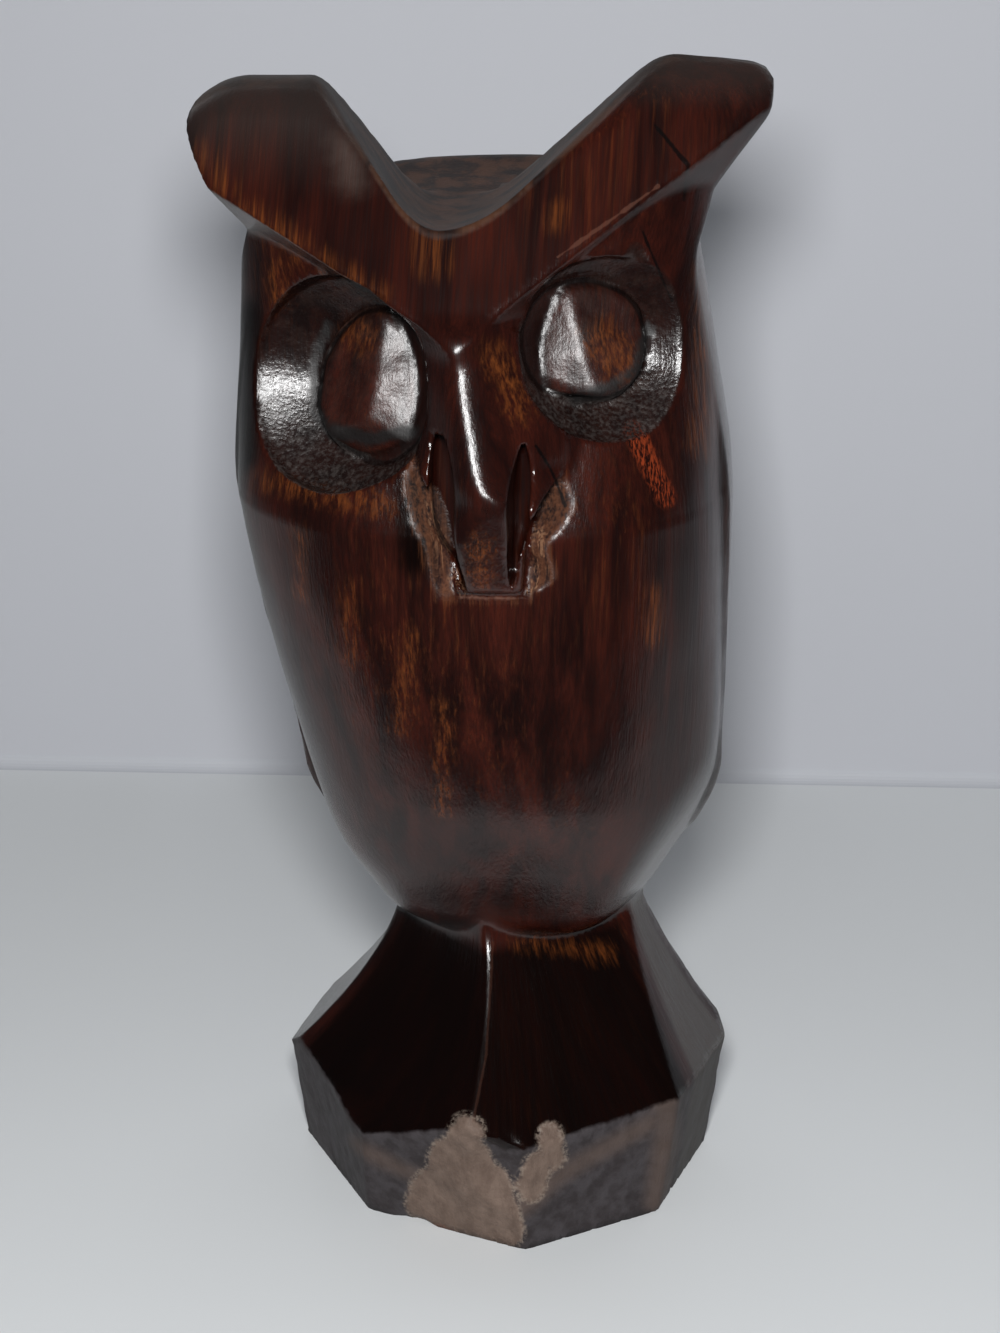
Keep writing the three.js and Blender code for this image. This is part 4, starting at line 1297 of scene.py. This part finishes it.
def roughness(n):
    """Polished by hand, and duller where it is cut, broken or weathered, towards the ear tips and under
    the painted glare on the left ear.
    """
    rough = POLISHED
    for amount, mask in (
        (0.05, n.fine),
        (0.08, n.hollow),
        (0.07, n.ball),
        (0.3, n.cut_shadow),
        (0.22, n.gritty),
        (0.2, n.near("lip", -0.4, 0.7)),
        (0.07, n.mark("rubbed", 1.6, 0.6)),
        (0.42, n.dull),
        (0.2, n.glare_spot),
    ):
        rough = n.math("ADD", rough, n.times(mask, amount), clamp=True)
    return rough


def grain_bump(n):
    """Pores along the grain everywhere, and grit where the wood is cut or broken."""
    pores = n.math("ADD", n.times(n.fibres, 0.4), n.times(n.strands, 0.6))
    grit = n.math("ADD", n.times(n.crumbs, 0.8), n.times(n.chips, 1.2))
    gritty_band = n.times(n.band, n.math("ADD", n.times(n.grainy, 0.8), 0.25))
    raw = n.most(gritty_band, n.times(n.ball, 0.35), n.pocket, n.times(n.side, 0.6), n.torn)
    height = n.math("ADD", pores, n.times(n.times(grit, raw), 1.8))
    return n.add("ShaderNodeBump", {"Height": height, **GRAIN_BUMP})


def ironwood():
    n = Wood("ironwood")
    dimmed = n.times(n.most(n.dull, n.gloom), 0.3)
    surface = {
        "Base Color": n.paint(grain_tone(n), cut_layers(n) + line_layers(n)),
        "Roughness": roughness(n),
        "Normal": grain_bump(n),
        "IOR": REFRACTION,
        "Specular IOR Level": n.math("SUBTRACT", SHEEN, dimmed),
    }
    return n.surface(surface)


owl_piece.data.materials.append(ironwood())
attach(owl_piece, "root")
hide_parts("carved_owl")


# Table, wall, camera and lights

CLOUD_SCALE = 9
CLOUD_STRENGTH = 0.12
CLOUD_SHADE = 0.85


def plain(name, colour, rough, one_sided=False):
    """A pale paint with faint darker clouds."""
    n = Nodes(name)
    cloud = n.noise(n.add("ShaderNodeTexCoord", out=3), CLOUD_SCALE, 3)
    shaded = rgb(*(part * CLOUD_SHADE for part in colour[:3]))
    tint = n.paint(colour, [(CLOUD_STRENGTH, cloud, shaded)])
    return n.surface({"Base Color": tint, "Roughness": rough}, one_sided)


def sheet(name, corners, material):
    mesh = bpy.data.meshes.new(name)
    mesh.from_pydata(corners, [], [(0, 1, 2, 3)])
    mesh.materials.append(material)
    piece = add_object(name, mesh)
    return piece


# The wall stands a little askew behind the owl and runs down into the table in a small cove.
# Both can be seen through from behind and throw no shadow, so that they hide nothing there.
WALL_BEHIND = 0.152
WALL_SKEW = 0.055
COVE = 0.0025
COVE_STEPS = 6
REACH = 1.6
WALL_HEIGHT = 1.4
TABLE_FRONT = -0.066
table = plain("pale_table", rgb(0.65, 0.67, 0.68), 0.5)
wall_paint = plain("pale_wall", rgb(0.50, 0.51, 0.545), 0.7, one_sided=True)
cove_paint = plain("pale_cove", rgb(0.50, 0.515, 0.55), 0.7, one_sided=True)


def wall_y(x):
    return WALL_BEHIND + WALL_SKEW * x


def flat_sheet(name, front, back):
    """A strip of the table between two lines, each given as its y at the left and right ends."""
    ends = [(-REACH, front[0]), (REACH, front[1]), (REACH, back[1]), (-REACH, back[0])]
    return sheet(name, [(x, y, 0) for x, y in ends], table)


cove_line = [wall_y(x) - COVE for x in (-REACH, REACH)]
flat_sheet("table", [TABLE_FRONT] * 2, cove_line)
flat_sheet("table_behind", cove_line, [REACH] * 2)
flat_sheet("near_table", [-REACH] * 2, [TABLE_FRONT] * 2).visible_glossy = False
for step in range(COVE_STEPS):
    corners = []
    for k, x in ((step, -REACH), (step, REACH), (step + 1, REACH), (step + 1, -REACH)):
        a = math.pi / 2 * k / COVE_STEPS
        corners.append((x, wall_y(x) - COVE * (1 - math.sin(a)), COVE * (1 - math.cos(a))))
    sheet(f"cove_{step}", corners, cove_paint).visible_shadow = False

# Only the wall close behind the owl is bright enough to be seen mirrored in the polish
BRIGHT_LEFT = -0.085
BRIGHT_RIGHT = 0.35
BRIGHT_TOP = 0.235
for name, left, right, low, high in (
    ("wall", BRIGHT_LEFT, BRIGHT_RIGHT, COVE, BRIGHT_TOP),
    ("wall_left", -REACH, BRIGHT_LEFT, COVE, BRIGHT_TOP),
    ("wall_right", BRIGHT_RIGHT, REACH, COVE, BRIGHT_TOP),
    ("wall_above", -REACH, REACH, BRIGHT_TOP, WALL_HEIGHT),
):
    corners = [(left, low), (right, low), (right, high), (left, high)]
    wall = sheet(name, [(x, wall_y(x), z) for x, z in corners], wall_paint)
    wall.visible_shadow = False
    wall.visible_glossy = name == "wall"


# The photograph's frame is 1000 by 1333 and its focal length is 2785 of those pixels
PHOTO_HEIGHT = 1333
FOCAL_PIXELS = 2785
SENSOR = 36
CAMERA_DISTANCE = 0.4
AIM = Vector((SHIFT[0] * MM, SHIFT[1] * MM, 0.078))


def add_aimed(name, data, place):
    """An object at a place that looks at the owl's middle."""
    thing = add_object(name, data)
    thing.location = place
    thing.rotation_euler = (AIM - place).to_track_quat("-Z", "Y").to_euler()
    return thing


lens = bpy.data.cameras.new("camera")
lens.sensor_width = SENSOR
lens.lens = FOCAL_PIXELS / PHOTO_HEIGHT * SENSOR
camera = add_aimed("camera", lens, AIM + CAMERA_DISTANCE * Vector(VIEW_OUT))
bpy.context.scene.camera = camera


def soft_light(name, place, size, power):
    data = bpy.data.lights.new(name, "AREA")
    data.size = size
    data.energy = power
    return add_aimed(name, data, place)


FLASH_DISTANCE = 0.39
FLASH_SIZE = 0.05
FLASH_POWER = 2.1
FLASH_OUT = towards(math.radians(5.3), math.radians(26.5))
soft_light("flash", AIM + FLASH_DISTANCE * Vector(FLASH_OUT), FLASH_SIZE, FLASH_POWER)

# Two large dim lights behind the owl's shoulders show its back and sides
FILL_PLACE = (0.30, 0.50, 0.46)
FILL_SIZE = 0.45
FILL_POWER = 0.55
for name, side in (("fill_left", -1), ("fill_right", 1)):
    place = Vector((side * FILL_PLACE[0], *FILL_PLACE[1:]))
    soft_light(name, place, FILL_SIZE, FILL_POWER).visible_camera = False

# A faint cool light from the rest of the room
ROOM_COLOUR = rgb(0.85, 0.9, 1.0)
ROOM_LIGHT = 0.05
world = bpy.data.worlds.new("room")
world.use_nodes = True
sky = world.node_tree.nodes["Background"].inputs
sky["Color"].default_value = ROOM_COLOUR
sky["Strength"].default_value = ROOM_LIGHT
bpy.context.scene.world = world
bpy.context.scene.view_settings.view_transform = "Standard"
